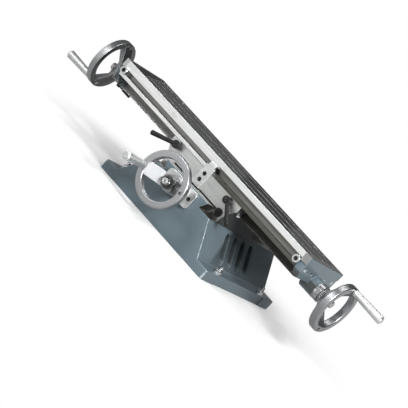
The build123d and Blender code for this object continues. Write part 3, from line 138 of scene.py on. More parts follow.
# Painted shade on the base's sides: darker hollows, and the table's shadow to the rear
POCKET_REACH = 0.05
SHADE_SLANT = 0.91
SHADE_START = -0.075
SHADE_WAVE = 0.03
SHADE_EDGE = 0.03
SHADE_FADE = (0.12, 0.40)
SHADE_FOOT = 0.085
SHADE_FOOT_BLUR = 0.05

# Painted shade on the saddle, the brackets and the table, and a darker patch on the table's top
SADDLE_SHADE_MIDDLE = 0.103
SADDLE_SHADE_HALF_WIDTH = 0.026
SADDLE_SHADE_HALF_HEIGHT = 0.016
SADDLE_SHADE_EDGE = (0.75, 1.45)
SADDLE_SHADE_WAVE = 0.5
BRACKET_SHADE_TOP = 0.212
BRACKET_SHADE_BLUR = 0.012
FRONT_SHADE_TOP = 0.2428
FRONT_SHADE_BLUR = 0.003
FRONT_SHADE_START = (0.02, 0.05)
FRONT_SHADE_WAVE = 0.04
TOP_PATCH_SLANT = 0.483
TOP_PATCH_START = (-0.014, 0.018)
TOP_PATCH_END = (0.197, 0.229)
TOP_PATCH_WAVE = 0.07
T_SLOT_LAND = (0.12, 0.20)
CORNER_SHADE_LENGTH = 0.060
CORNER_SHADE_EDGE = (0.92, 1.10)
CORNER_SHADE_WAVE = 0.3

# Painted light and shade on the handwheels
HUB_SHADE_BLUR = 0.004
ARM_CHANGE = 0.004
BACK_SHADE_TURN = (0.35, 0.75)

# Radius that sharp edges look rounded to
CASTING_EDGE = 0.0022
BRACKET_EDGE = 0.0018
SADDLE_EDGE = 0.0015
TURNED_EDGE = 0.0009
STEEL_EDGE = 0.0008
FINE_EDGE = 0.0006
BRONZE_EDGE = 0.0005
WORN_EDGE = (0.01, 0.12)
SHADING_SAMPLES = 6

# Depth of the relief in the surfaces
PAINT_RELIEF = 0.0006
SADDLE_RELIEF = 0.0004
TABLE_RELIEF = 0.0003
THREAD_RELIEF = 0.0016
DIAL_RELIEF = 0.0003
BLACK_RELIEF = 0.00015
BRONZE_RELIEF = 0.0001
NUT_RELIEF = 0.00008
CUTTER_RELIEF = 0.00006
WHEEL_RELIEF = 0.00001
GRIP_RELIEF = 0.000004
WHEEL_RINGS = 900
GRIP_RINGS = 90

# Shine of the finishes, roughness before their patterns add to it
PAINT_ROUGHNESS = 0.24
GROUND_ROUGHNESS = 0.20
ZINC_ROUGHNESS = 0.16
PLATE_ROUGHNESS = 0.26
GIB_ROUGHNESS = 0.25
WHEEL_ROUGHNESS = 0.26
GRIP_ROUGHNESS = 0.36
DIAL_ROUGHNESS = 0.28
SCREW_ROUGHNESS = 0.22
BLACK_ROUGHNESS = 0.26
NUT_ROUGHNESS = 0.24
BRONZE_ROUGHNESS = 0.25
PAINT_COAT = 0.25
COAT_ROUGHNESS = 0.12
BASE_SPECULAR = 0.36
SADDLE_SPECULAR = 0.20
BLACK_SPECULAR = 0.32
TABLE_SPECULAR_TINT = (0.55, 0.55, 0.55, 1)
NOISE_ROUGHNESS = 0.55

# How far the marks of a cut are drawn out: below 1 along the cut
GROUND_ALONG_X = (0.012, 1, 1)
GROUND_ALONG_Y = (1, 0.012, 1)
MILLED_ALONG_X = (0.05, 1, 1)

# How much of a surface's direction counts as facing along an axis
FACING_UP = 0.5
FACING_ALONG = 0.7
FACING_FULLY = 0.9
FACING_FRONT = (0.5, 0.9)
FACING_SIDES = (0.30, 0.55)
FILLET_HIGHLIGHT_END = (0.82, 0.96)

# Smooth shading of the round pieces
MERGE_DISTANCE = 0.000001
SMOOTH_ANGLE = radians(12)
STUD_SMOOTH_ANGLE = radians(30)

# Camera fitted to the photograph, with the picture's own slant
CAMERA_AZIMUTH = radians(25.97)
CAMERA_ELEVATION = radians(7.92)
CAMERA_ROLL = radians(44.13)
CAMERA_DISTANCE = 6.56335
CAMERA_SHIFT_RIGHT = -0.02993
CAMERA_SHIFT_UP = -0.03857
CAMERA_AIM_HEIGHT = 0.15
FOCAL_PIXELS = 2314.15
PICTURE_PIXELS = 408
SENSOR_WIDTH = 36
VIEW_END = 100

# How the floor shows: radii round the object, and how bright a shine sees it
FLOOR_SIZE = 16
FLOOR_ROUGHNESS = 0.9
FLOOR_WHITE = (1, 1, 1, 1)
FLOOR_GREY = (0.42, 0.42, 0.42, 1)
FLOOR_GLOW = 0.08
FLOOR_SHADOW_REACH = (0.40, 0.70)
FLOOR_SHEEN_NEAR = 0.10
FLOOR_SHEEN_FAR = 0.90
FLOOR_SHEEN_REACH = (0.85, 1.40)

# How the world lights the object, and how bright a shine sees it
AMBIENT = 0.06
REAR_AMBIENT = 1.6
REAR_AMBIENT_TURN = (0.5, 1.0)
FRONT_SHEEN = 0.85
CEILING_SHEEN = 0.15
CEILING_TURN = (0.10, 0.60)
REAR_SHEEN = 0.22
REAR_TURN = (-0.10, 0.70)

# Colours as light reflects them
WHITE = (1, 1, 1, 1)
PAINT_GREY = (0.118, 0.160, 0.185, 1)
PAINT_PALE = (0.150, 0.195, 0.220, 1)
PAINT_DEEP = (0.085, 0.118, 0.138, 1)
PAINT_WORN = (0.42, 0.47, 0.50, 1)
PAINT_IN_SHADOW = (0.012, 0.024, 0.030, 1)
BARE_IRON = (0.52, 0.53, 0.52, 1)
GROUND_BRIGHT = (0.95, 0.96, 0.95, 1)
GROUND_SATIN = (0.66, 0.67, 0.66, 1)
GROUND_DULL = (0.55, 0.56, 0.55, 1)
IRON_DARK = (0.24, 0.245, 0.24, 1)
IRON_DARKENED = (0.10, 0.10, 0.085, 1)
# Dark oil colours: real stains and dirt, and also painted shade
OIL_AND_SHADE_DARK = (0.035, 0.036, 0.034, 1)
OIL_AND_SHADE_BROWN = (0.070, 0.066, 0.058, 1)
STEEL = (0.72, 0.74, 0.74, 1)
STEEL_PALE = (0.82, 0.83, 0.83, 1)
STEEL_SHADE = (0.46, 0.47, 0.47, 1)
ALUMINIUM = (0.38, 0.39, 0.40, 1)
ALUMINIUM_SHADED = (0.28, 0.29, 0.30, 1)
ALUMINIUM_PALE = (0.48, 0.49, 0.50, 1)
ALUMINIUM_LIT = (0.47, 0.48, 0.50, 1)
BLACK_OXIDE = (0.014, 0.014, 0.015, 1)
BLACK_WORN = (0.036, 0.035, 0.034, 1)
BRONZE = (0.50, 0.30, 0.12, 1)
BRONZE_DARK = (0.22, 0.13, 0.05, 1)
INK = (0.012, 0.012, 0.012, 1)


class Amount:
    """A value that a node gives; arithmetic on it adds Math nodes to its tree."""

    def __init__(self, nodes, socket):
        self.nodes = nodes
        self.socket = socket

    def math(self, operation, *operands):
        return self.nodes.math_of(operation, *operands)

    def __add__(self, other):
        return self.math("ADD", self, other)

    def __radd__(self, other):
        return self.math("ADD", other, self)

    def __sub__(self, other):
        return self.math("SUBTRACT", self, other)

    def __rsub__(self, other):
        return self.math("SUBTRACT", other, self)

    def __mul__(self, other):
        return self.math("MULTIPLY", self, other)

    def __rmul__(self, other):
        return self.math("MULTIPLY", other, self)

    def __truediv__(self, other):
        return self.math("DIVIDE", self, other)

    def __abs__(self):
        return self.math("ABSOLUTE", self)

    def distance_to(self, other):
        return abs(self - other)

    def above(self, limit):
        return self.math("GREATER_THAN", self, limit)

    def below(self, limit):
        return self.math("LESS_THAN", self, limit)

    def root(self):
        return self.math("SQRT", self)

    def ramp(self, low, high):
        """0 at low, 1 at high, smooth between them."""
        return self.nodes.node(
            "ShaderNodeMapRange",
            {"interpolation_type": "SMOOTHSTEP"},
            {"Value": self, "From Min": low, "From Max": high},
        )

    def fade(self, limits, first, last):
        """A straight change from one value at the first limit to another at the second."""
        low, high = limits
        return self.nodes.node(
            "ShaderNodeMapRange",
            None,
            {"Value": self, "From Min": low, "From Max": high, "To Min": first, "To Max": last},
        )


class Nodes:
    """A node tree, and the ways to build values in it."""

    def __init__(self, tree):
        self.tree = tree

    def feed(self, socket, value):
        """Links a value to a socket, or sets a constant on it."""
        if isinstance(value, Amount):
            self.tree.links.new(value.socket, socket)
        else:
            socket.default_value = value

    def node(self, kind, settings=None, inputs=None, output=0):
        made = self.tree.nodes.new(kind)
        for name, value in (settings or {}).items():
            setattr(made, name, value)
        for name, value in (inputs or {}).items():
            self.feed(made.inputs[name], value)
        return Amount(self, made.outputs[output])

    def math_of(self, operation, *operands):
        return self.node("ShaderNodeMath", {"operation": operation}, dict(enumerate(operands)))

    def part(self, vector, letter):
        """One coordinate of a vector."""
        return self.node("ShaderNodeSeparateXYZ", None, {0: vector}, letter)

    def either(self, mask, *others):
        """The greatest of several masks."""
        for other in others:
            mask = self.math_of("MAXIMUM", mask, other)
        return mask

    def mix(self, mask, first, second):
        """The first value where the mask is 0 and the second where it is 1."""
        return self.node("ShaderNodeMix", None, {0: mask, 2: first, 3: second})

    def blend(self, mask, first, second):
        """The first colour where the mask is 0 and the second where it is 1."""
        return self.node("ShaderNodeMix", {"data_type": "RGBA"}, {0: mask, 6: first, 7: second}, 2)


class Finish(Nodes):
    """A procedural material: its shader, and the patterns that it is built from."""

    def __init__(self, name, metallic=0.0, roughness=0.5, coat=0.0):
        self.material = bpy.data.materials.new(name)
        self.material.use_nodes = True
        super().__init__(self.material.node_tree)
        self.shader = self.tree.nodes["Principled BSDF"]
        self.set("Metallic", metallic)
        self.set("Roughness", roughness)
        self.set("Coat Weight", coat)
        self.place = self.node("ShaderNodeTexCoord", output="Object")

    def set(self, name, value):
        self.feed(self.shader.inputs[name], value)

    def coordinates(self, letters):
        """Where the surface is in the model, one coordinate for each letter."""
        return [self.part(self.place, letter) for letter in letters]

    def place_from(self, centre):
        """Where the surface is, measured from a centre."""
        return self.node(
            "ShaderNodeVectorMath", {"operation": "SUBTRACT"}, {0: self.place, 1: tuple(centre)}
        )

    def place_stretched(self, stretch):
        """Where the surface is, each coordinate times its own factor."""
        return self.node(
            "ShaderNodeVectorMath", {"operation": "MULTIPLY"}, {0: self.place, 1: stretch}
        )

    def noise(self, scale, detail, stretch=(1, 1, 1), vector=None):
        """Cloudy noise from 0 to 1, over the model or over a vector."""
        where = vector or self.place_stretched(stretch)
        return self.node(
            "ShaderNodeTexNoise",
            {"noise_dimensions": "3D"},
            {"Vector": where, "Scale": scale, "Detail": detail, "Roughness": NOISE_ROUGHNESS},
        )

    def facing(self, letter):
        """How far the surface faces along an axis of the model."""
        geometry = self.node("ShaderNodeNewGeometry", output="Normal")
        return self.part(geometry, letter)

    def hollows(self, reach):
        """0 in the open, towards 1 in corners and pockets."""
        open_sky = self.node(
            "ShaderNodeAmbientOcclusion",
            {"samples": SHADING_SAMPLES, "only_local": True},
            {"Distance": reach},
            "AO",
        )
        return 1 - open_sky

    def soft_edges(self, radius):
        """The surface's direction with its sharp edges rounded."""
        return self.node("ShaderNodeBevel", {"samples": SHADING_SAMPLES}, {"Radius": radius})

    def edge_mask(self, rounded):
        """1 on the rounded edges, 0 on the flats."""
        true_normal = self.node("ShaderNodeNewGeometry", output="True Normal")
        along = self.node(
            "ShaderNodeVectorMath", {"operation": "DOT_PRODUCT"}, {0: rounded, 1: true_normal}, "Value"
        )
        return (1 - along).ramp(*WORN_EDGE)

    def relief(self, height, depth, normal):
        """Bumps of a height pattern, depth in metres, over the rounded surface."""
        bump = self.node(
            "ShaderNodeBump",
            None,
            {"Height": height, "Distance": depth, "Strength": 1.0, "Normal": normal},
        )
        self.set("Normal", bump)


class Round:
    """Where a surface is about an axis: distance from it, angle round it, and place along it."""

    def __init__(self, finish, centre, axis):
        local = finish.place_from(centre)
        x, y, z = (finish.part(local, letter) for letter in "XYZ")
        across, self.along = (y, x) if axis == "X" else (x, y)
        self.radius = (across * across + z * z).root()
        self.angle = finish.math_of("ARCTAN2", z, across)


class Look:
    """What a surface shows: its colour, roughness, how metallic it is, and its relief."""

    def __init__(self, colour, roughness, metallic, height):
        self.colour = colour
        self.roughness = roughness
        self.metallic = metallic
        self.height = height


def over(finish, mask, under, top):
    """The look of one surface where the mask is 0 and of another where it is 1."""
    return Look(
        finish.blend(mask, under.colour, top.colour),
        under.roughness + (top.roughness - under.roughness) * mask,
        under.metallic + (top.metallic - under.metallic) * mask,
        under.height + (top.height - under.height) * mask,
    )


def lay(finish, look, rounded, depth):
    """Puts a look on the shader, with its relief over the rounded edges."""
    finish.set("Base Color", look.colour)
    finish.set("Roughness", look.roughness)
    finish.set("Metallic", look.metallic)
    finish.relief(look.height, depth, rounded)


def enamel(finish, edge):
    """Blue-grey machine enamel: soft orange peel, paler worn edges, a little dirt."""
    cloud = finish.noise(scale=7, detail=4)
    grain = finish.noise(scale=120, detail=3)
    colour = finish.blend(cloud.ramp(0.30, 0.72), PAINT_DEEP, PAINT_PALE)
    colour = finish.blend(0.62, colour, PAINT_GREY)
    worn = edge * finish.noise(scale=38, detail=5).ramp(0.36, 0.54)
    colour = finish.blend(worn * 0.8, colour, PAINT_WORN)
    dirt = finish.noise(scale=19, detail=5).ramp(0.55, 0.80)
    colour = finish.blend(dirt * 0.30, colour, OIL_AND_SHADE_DARK)
    peel = finish.noise(scale=330, detail=2) * 0.5 + grain * 0.5
    roughness = PAINT_ROUGHNESS + 0.20 * cloud + 0.08 * grain
    return Look(colour, roughness, 0.0, peel)


def ground(finish, edge, pale, shade, along=GROUND_ALONG_X):
    """Metal ground in one direction: fine lines, broader bands, oil stains in patches."""
    lines = finish.noise(scale=900, detail=2, stretch=along)
    bands = finish.noise(scale=130, detail=3, stretch=along)
    stain = finish.noise(scale=14, detail=5)
    colour = finish.blend(lines.ramp(0.30, 0.66), shade, pale)
    colour = finish.blend(bands.ramp(0.45, 0.72) * 0.35, colour, shade)
    colour = finish.blend(stain.ramp(0.56, 0.80) * 0.22, colour, OIL_AND_SHADE_DARK)
    colour = finish.blend(edge * 0.45, colour, GROUND_BRIGHT)
    roughness = GROUND_ROUGHNESS + 0.14 * bands + 0.12 * stain
    return Look(colour, roughness, 1.0, lines * 0.3 + bands * 0.3)


def base_paint():
    """The base: enamel outside, with painted shade in its hollows, the table's shadow painted on the rear
    of its sides and a painted highlight on its fillets; ways ground bare above the shoulders, in dark
    tones as painted shade.
    """
    finish = Finish("base_paint")
    finish.set("Specular IOR Level", BASE_SPECULAR)
    finish.set("Coat Roughness", COAT_ROUGHNESS)
    rounded = finish.soft_edges(CASTING_EDGE)
    edge = finish.edge_mask(rounded)
    y, z = finish.coordinates("YZ")
    facing_front = abs(finish.facing("Y"))
    upright = abs(finish.facing("Z")).below(FACING_UP)
    # Painted highlight: a paler line on the upright fillets, laid on with the worn edges
    fillet_highlight = facing_front.ramp(*FACING_SIDES) * (1 - facing_front.ramp(*FILLET_HIGHLIGHT_END)) * upright
    painted = enamel(finish, finish.either(edge, fillet_highlight))
    # Painted shade: pockets and corners darkened by how shut in they are
    hollow_shade = finish.hollows(POCKET_REACH).ramp(0.25, 0.75)
    painted.colour = finish.blend(hollow_shade * 0.92, painted.colour, OIL_AND_SHADE_DARK)

    # Painted shadow: the table's shadow on the rear of the sloping sides, darker, rougher and with less
    # coat
    wave = finish.noise(scale=16, detail=4) * SHADE_WAVE
    behind = y + wave - (z - SHOULDER_HEIGHT) * SHADE_SLANT - SHADE_START
    sides = abs(finish.facing("X")).ramp(*FACING_SIDES) * z.above(FLANGE_HEIGHT)
    rear_shadow = behind.ramp(0.0, SHADE_EDGE) * (1 - behind.ramp(*SHADE_FADE) * 0.15) * sides
    rear_shadow = rear_shadow * (1 - (SHADE_FOOT - z).ramp(0.0, SHADE_FOOT_BLUR) * 0.45)
    painted.colour = finish.blend(rear_shadow * 0.88, painted.colour, PAINT_IN_SHADOW)
    painted.roughness = painted.roughness + rear_shadow * 0.30
    finish.set("Coat Weight", PAINT_COAT * (1 - rear_shadow * 0.9))

    # The ways take dark iron tones as painted shade
    bare = ground(finish, edge, IRON_DARK, OIL_AND_SHADE_BROWN, GROUND_ALONG_Y)
    ways = z.above(SHOULDER_HEIGHT - FINE_SKIN) * facing_front.below(FACING_ALONG)
    lay(finish, over(finish, ways, painted, bare), rounded, PAINT_RELIEF)
    return finish.material


def bracket_paint():
    """An end bracket: enamel, a zero mark on its boss, front lip and top milled flush with the table."""
    finish = Finish("bracket_paint", coat=PAINT_COAT)
    finish.set("Coat Roughness", COAT_ROUGHNESS)
    rounded = finish.soft_edges(BRACKET_EDGE)
    edge = finish.edge_mask(rounded)
    x, y, z = finish.coordinates("XYZ")
    painted = enamel(finish, edge)
    # Painted shade: the bracket's front below the lip darkened
    front = (0 - finish.facing("Y")).ramp(*FACING_FRONT)
    bracket_front_shade = front * (BRACKET_SHADE_TOP - z).ramp(0, BRACKET_SHADE_BLUR)
    painted.colour = finish.blend(bracket_front_shade * 0.85, painted.colour, OIL_AND_SHADE_DARK)

    mark = y.distance_to(X_SCREW_CENTRE.y).below(ZERO_MARK_HALF_WIDTH)
    mark = mark * z.above(X_SCREW_CENTRE.z + 0.5 * BOSS_RADIUS)
    mark = mark * z.below(X_SCREW_CENTRE.z + 1.1 * BOSS_RADIUS)
    right_end = x.above(RIGHT_BOSS_END - ZERO_MARK_LENGTH)
    left_end = x.below(LEFT_BOSS_END + ZERO_MARK_LENGTH)
    mark = mark * finish.either(right_end, left_end)
    painted.colour = finish.blend(mark, painted.colour, GROUND_BRIGHT)

    dull = ground(finish, edge * 0.2, GROUND_DULL, IRON_DARK)
    # Painted shade: the left bracket's top nearly black
    dull.colour = finish.blend(x.below(0) * 0.95, dull.colour, OIL_AND_SHADE_DARK)
    milled = ground(finish, edge, BARE_IRON, STEEL_SHADE)
    # Painted shade: the right bracket's lip darker than the left one
    milled.colour = finish.blend(x.above(0) * 0.65, milled.colour, IRON_DARK)
    top = z.above(TABLE_TOP - SKIN)
    lip = y.below(TABLE_FRONT + SKIN)
    faced = over(finish, top, painted, dull)
    lay(finish, over(finish, lip, faced, milled), rounded, PAINT_RELIEF)
    return finish.material


def saddle_iron():
    """The saddle: ground front, back and ways, enamel on its hollow sides darkened as painted shade,
    painted shade at its feet.
    """
    finish = Finish("saddle_iron")
    finish.set("Specular IOR Level", SADDLE_SPECULAR)
    rounded = finish.soft_edges(SADDLE_EDGE)
    edge = finish.edge_mask(rounded)
    x, z = finish.coordinates("XZ")
    metal = ground(finish, edge, GROUND_SATIN, BARE_IRON)
    # Painted shade: a dark oval at the saddle's feet beside the shoulders
    across = (abs(x) - SADDLE_SHADE_MIDDLE) / SADDLE_SHADE_HALF_WIDTH
    rise = (z - SHOULDER_HEIGHT) / SADDLE_SHADE_HALF_HEIGHT
    wave = finish.noise(scale=60, detail=3) * SADDLE_SHADE_WAVE
    painted_shade = 1 - (across * across + rise * rise + wave).ramp(*SADDLE_SHADE_EDGE)
    metal.colour = finish.blend(painted_shade * 0.85, metal.colour, OIL_AND_SHADE_BROWN)
    # Painted shade: the hollow sides' enamel darkened almost to black
    sides = enamel(finish, edge * 0.4)
    sides.colour = finish.blend(0.90, sides.colour, OIL_AND_SHADE_DARK)
    sides.roughness = sides.roughness + 0.35
    sideways = abs(finish.facing("Y")).below(FACING_ALONG)
    painted = sideways * z.below(SADDLE_PAINT_TOP) * abs(x).above(SADDLE_SLOT_HALF)
    lay(finish, over(finish, painted, metal, sides), rounded, SADDLE_RELIEF)
    return finish.material


def table_iron():
    """The table: a bright ground front and ways underneath, a duller top and slots, the difference a
    painted reflection; painted shade towards the right of the front and on the top's left front corner.
    """
    finish = Finish("table_iron")
    finish.set("Specular Tint", TABLE_SPECULAR_TINT)
    rounded = finish.soft_edges(STEEL_EDGE)
    edge = finish.edge_mask(rounded)
    x, y, z = finish.coordinates("XYZ")
    sunk = z.below(TABLE_TOP - SKIN)
    top = 1 - sunk

    # Painted shade: the lower front band darkens towards the right
    drift = finish.noise(scale=5, detail=2) * FRONT_SHADE_WAVE
    painted_shade = (FRONT_SHADE_TOP - z).ramp(0.0, FRONT_SHADE_BLUR) * (x + drift).ramp(*FRONT_SHADE_START)
    # Painted reflection: the front is a far brighter copy of the same ground iron than the top
    bright = ground(finish, edge, GROUND_BRIGHT, GROUND_SATIN)
    bright.colour = finish.blend(painted_shade * 0.97, bright.colour, IRON_DARKENED)

    top_slots_ways = ground(finish, edge * 0.05, GROUND_DULL, IRON_DARK)
    # A darker slanted patch on the lands between the slots
    slanted = x + y * TOP_PATCH_SLANT + (finish.noise(scale=18, detail=5) - 0.5) * TOP_PATCH_WAVE
    patch = slanted.ramp(*TOP_PATCH_START) * (1 - slanted.ramp(*TOP_PATCH_END))
    row = finish.math_of("PINGPONG", (y - TABLE_MIDDLE) / T_SLOT_PITCH, 0.5)
    land = row.ramp(*T_SLOT_LAND)
    top_slots_ways.colour = finish.blend(patch * land * top * 0.70, top_slots_ways.colour, OIL_AND_SHADE_DARK)
    top_slots_ways.colour = finish.blend(sunk * 0.6, top_slots_ways.colour, IRON_DARKENED)

    # Painted shade: a dark wedge on the top at its left front corner
    reach = (x - TABLE_LEFT) / CORNER_SHADE_LENGTH + (y - TABLE_FRONT) / (TABLE_REAR - TABLE_FRONT)
    reach = reach + (finish.noise(scale=30, detail=4) - 0.5) * CORNER_SHADE_WAVE
    corner = (1 - reach.ramp(*CORNER_SHADE_EDGE)) * top
    top_slots_ways.colour = finish.blend(corner * 0.80, top_slots_ways.colour, OIL_AND_SHADE_DARK)

    # The ways underneath are bright as painted reflection, with the same painted shade towards the right
    way = finish.blend(painted_shade * 0.92, GROUND_BRIGHT, IRON_DARKENED)
    top_slots_ways.colour = finish.blend(z.below(TABLE_UNDERSIDE - FINE_SKIN), top_slots_ways.colour, way)
    front = y.below(TABLE_FRONT + SKIN)
    lay(finish, over(finish, front, top_slots_ways, bright), rounded, TABLE_RELIEF)
    return finish.material


def machined(name, pale, shade, roughness, marked=False):
    """Machined steel with fine cutter marks and a cloudy sheen; the bearing plate has its zero mark."""
    finish = Finish(name, metallic=1.0)
    fine = finish.noise(scale=700, detail=2, stretch=MILLED_ALONG_X)
    cloud = finish.noise(scale=26, detail=4)
    rounded = finish.soft_edges(FINE_EDGE)
    colour = finish.blend(fine.ramp(0.34, 0.62), shade, pale)
    colour = finish.blend(cloud.ramp(0.50, 0.8) * 0.35, colour, shade)
    colour = finish.blend(finish.edge_mask(rounded) * 0.4, colour, pale)
    if marked:
        x, y, z = finish.coordinates("XYZ")
        mark = x.distance_to(Y_SCREW_CENTRE.x).below(ZERO_MARK_HALF_WIDTH)
        mark = mark * y.below(PLATE_BOSS_END + ZERO_MARK_LENGTH)
        mark = mark * z.above(Y_SCREW_CENTRE.z + 0.5 * BOSS_RADIUS)
        colour = finish.blend(mark, colour, INK)
    finish.set("Base Color", colour)
    finish.set("Roughness", roughness + 0.20 * cloud)
    finish.relief(fine, CUTTER_RELIEF, rounded)
    return finish.material


def lay_turned(finish, place, pale, shade, roughness, rings, relief):
    """Fine rings round an axis, for any metal that came off a lathe."""
    track = finish.node(
        "ShaderNodeCombineXYZ", None, {0: place.radius * rings, 1: place.along * rings, 2: 0.0}
    )
    cut = finish.noise(scale=1, detail=2, vector=track)
    cloud = finish.noise(scale=30, detail=4)
    rounded = finish.soft_edges(TURNED_EDGE)
    edge = finish.edge_mask(rounded)
    colour = finish.blend(cut.ramp(0.25, 0.75), shade, pale)
    colour = finish.blend(cloud.ramp(0.50, 0.80) * 0.30, colour, shade)
    colour = finish.blend(edge * 0.6, colour, STEEL)
    finish.set("Base Color", colour)
    finish.set("Roughness", roughness + 0.14 * cloud + 0.06 * cut)
    finish.relief(cut, relief, rounded)


def grip_satin(name, centre, axis):
    """A revolving handle and its pin: satin steel with faint rings."""
    finish = Finish(name, metallic=1.0)
    place = Round(finish, centre, axis)
    lay_turned(finish, place, STEEL_PALE, GROUND_SATIN, GRIP_ROUGHNESS, GRIP_RINGS, GRIP_RELIEF)
    return finish.material


def wheel_aluminium(name, centre, axis, outward, pale, shade, hub_shade, arm_lighting):
    """A handwheel: turned all over, with painted shade on its back and round its hub, and one arm painted
    lit and the other shaded.
    """
    finish = Finish(name, metallic=1.0)
    place = Round(finish, centre, axis)
    # Painted light and shade: the arm left of the hub paler, the one right of it darker
    arm_light_and_shade = place.radius.below(WHEEL_ARM_REACH) * arm_lighting
    side = finish.part(finish.place_from(centre), "X").ramp(-ARM_CHANGE, ARM_CHANGE)
    pale = finish.blend(arm_light_and_shade, pale, finish.blend(side, ALUMINIUM_LIT, ALUMINIUM))
    shade = finish.blend(arm_light_and_shade, shade, finish.blend(side, ALUMINIUM_PALE, IRON_DARK))
    # Painted shade round the hub, behind the nut
    wave = finish.noise(scale=80, detail=3) * HUB_SHADE_BLUR
    hub_shade_mask = (WHEEL_HUB_RADIUS - place.radius + wave).ramp(0.0, HUB_SHADE_BLUR) * hub_shade
    # Painted shade on the side that faces the table
    back = (finish.facing(axis) * -outward).ramp(*BACK_SHADE_TURN) * 0.75
    for painted_shade in (hub_shade_mask, back):
        pale = finish.blend(painted_shade, pale, OIL_AND_SHADE_BROWN)
        shade = finish.blend(painted_shade, shade, OIL_AND_SHADE_DARK)
    lay_turned(finish, place, pale, shade, WHEEL_ROUGHNESS, WHEEL_RINGS, WHEEL_RELIEF)
    return finish.material


def lines_round(finish, turn, count, half_width):
    """1 on evenly spaced lines round a turn, their half width a share of their pitch."""
    share = finish.math_of("FRACT", turn * count + 0.5)
    return share.distance_to(0.5).below(half_width)


def graduated(name, centre, axis, drum):
    """A satin dial: a hundred lines round its drum, every fifth and tenth longer, and a knurled flange."""
    finish = Finish(name, metallic=1.0)
    place = Round(finish, centre, axis)
    low, high = drum
    depth = (place.along - low) / (high - low)
    from_top = place.angle / (2 * pi) - 0.25
    units = lines_round(finish, from_top, LINES, LINE_HALF_WIDTH)
    fifths = lines_round(finish, from_top, FIFTH_LINES, FIFTH_LINE_HALF_WIDTH)
    tenths = lines_round(finish, from_top, TENTH_LINES, TENTH_LINE_HALF_WIDTH)
    lines = finish.either(
        units * depth.below(LINE_LENGTH),
        fifths * depth.below(FIFTH_LINE_LENGTH),
        tenths * depth.below(TENTH_LINE_LENGTH),
    )
    ink = lines * depth.above(0.0) * place.radius.above(DIAL_RADIUS - SKIN)
    cloud = finish.noise(scale=40, detail=4)
    colour = finish.blend(cloud.ramp(0.3, 0.8) * 0.5, ALUMINIUM_PALE, ALUMINIUM)
    colour = finish.blend(ink * 0.95, colour, INK)
    one_way = finish.math_of("SINE", place.angle * KNURL_ROUND + place.along * KNURL_ALONG)
    other_way = finish.math_of("SINE", place.angle * KNURL_ROUND - place.along * KNURL_ALONG)
    knurled = depth.above(KNURL_START) * place.radius.above(DIAL_RADIUS - KNURL_BAND)
    finish.set("Base Color", colour)
    finish.set("Metallic", 1 - ink)
    finish.set("Roughness", DIAL_ROUGHNESS + 0.15 * cloud)
    height = one_way * other_way * knurled - ink * 0.6
    finish.relief(height, DIAL_RELIEF, finish.soft_edges(FINE_EDGE))
    return finish.material


def threaded(name, centre, axis):
    """A lead screw: a five-millimetre thread on its thick part, plain journals at its ends."""
    finish = Finish(name, metallic=1.0)
    place = Round(finish, centre, axis)
    spiral = finish.math_of("PINGPONG", place.along / SCREW_LEAD + place.angle / (2 * pi), 0.5) * 2
    groove = place.radius.above(THREAD_RADIUS - FINE_SKIN) * spiral.ramp(*THREAD_FLANK)
    cloud = finish.noise(scale=40, detail=4)
    colour = finish.blend(cloud.ramp(0.4, 0.8) * 0.4, STEEL, STEEL_SHADE)
    colour = finish.blend(groove * 0.85, colour, OIL_AND_SHADE_BROWN)
    # Painted shade: the centre hole darkened
    centre_hole_shade = place.radius.below(CENTRE_HOLE_RADIUS)
    colour = finish.blend(centre_hole_shade * 0.95, colour, OIL_AND_SHADE_DARK)
    finish.set("Base Color", colour)
    finish.set("Roughness", SCREW_ROUGHNESS + 0.2 * cloud)
    finish.relief(1 - groove, THREAD_RELIEF, finish.soft_edges(FINE_EDGE))
    return finish.material


def blackened(name, worn_share=0.6):
    """Blackened steel, rubbed to bare metal on its edges."""
    finish = Finish(name)
    finish.set("Specular IOR Level", BLACK_SPECULAR)
    cloud = finish.noise(scale=60, detail=4)
    grain = finish.noise(scale=420, detail=2)
    rounded = finish.soft_edges(STEEL_EDGE)
    edge = finish.edge_mask(rounded)
    colour = finish.blend(cloud.ramp(0.45, 0.75) * 0.5, BLACK_OXIDE, BLACK_WORN)
    worn = edge * finish.noise(scale=90, detail=4).ramp(0.44, 0.60) * worn_share
    colour = finish.blend(worn, colour, STEEL_SHADE)
    finish.set("Base Color", colour)
    finish.set("Metallic", 0.2 + 0.7 * worn)
    finish.set("Roughness", BLACK_ROUGHNESS + 0.22 * cloud)
    finish.relief(grain, BLACK_RELIEF, rounded)
    return finish.material


def wheel_nut(name, centre, axis, flange):
    """A wheel's nut: bright hexagon on a blackened flange."""
    finish = Finish(name)
    fine = finish.noise(scale=700, detail=2)
    cloud = finish.noise(scale=60, detail=4)
    clouded = cloud.ramp(0.4, 0.8)
    roughness = NUT_ROUGHNESS + 0.2 * cloud
    bright = Look(finish.blend(clouded, BARE_IRON, STEEL_SHADE), roughness, 1.0, fine)
    dark = Look(finish.blend(clouded, BLACK_OXIDE, BLACK_WORN), roughness, 0.3, fine)
    black = abs(Round(finish, centre, axis).along).below(flange)
    lay(finish, over(finish, black, bright, dark), finish.soft_edges(STEEL_EDGE), NUT_RELIEF)
    return finish.material


def bronze():
    """Oiled bronze of the bushes and the feed nuts."""
    finish = Finish("bronze", metallic=1.0)
    cloud = finish.noise(scale=45, detail=4)
    finish.set("Base Color", finish.blend(cloud.ramp(0.35, 0.75), BRONZE, BRONZE_DARK))
    finish.set("Roughness", BRONZE_ROUGHNESS + 0.25 * cloud)
    finish.relief(finish.noise(scale=500, detail=2), BRONZE_RELIEF, finish.soft_edges(BRONZE_EDGE))
    return finish.material


def select_only(piece):
    bpy.ops.object.select_all(action="DESELECT")
    piece.select_set(True)
    bpy.context.view_layer.objects.active = piece


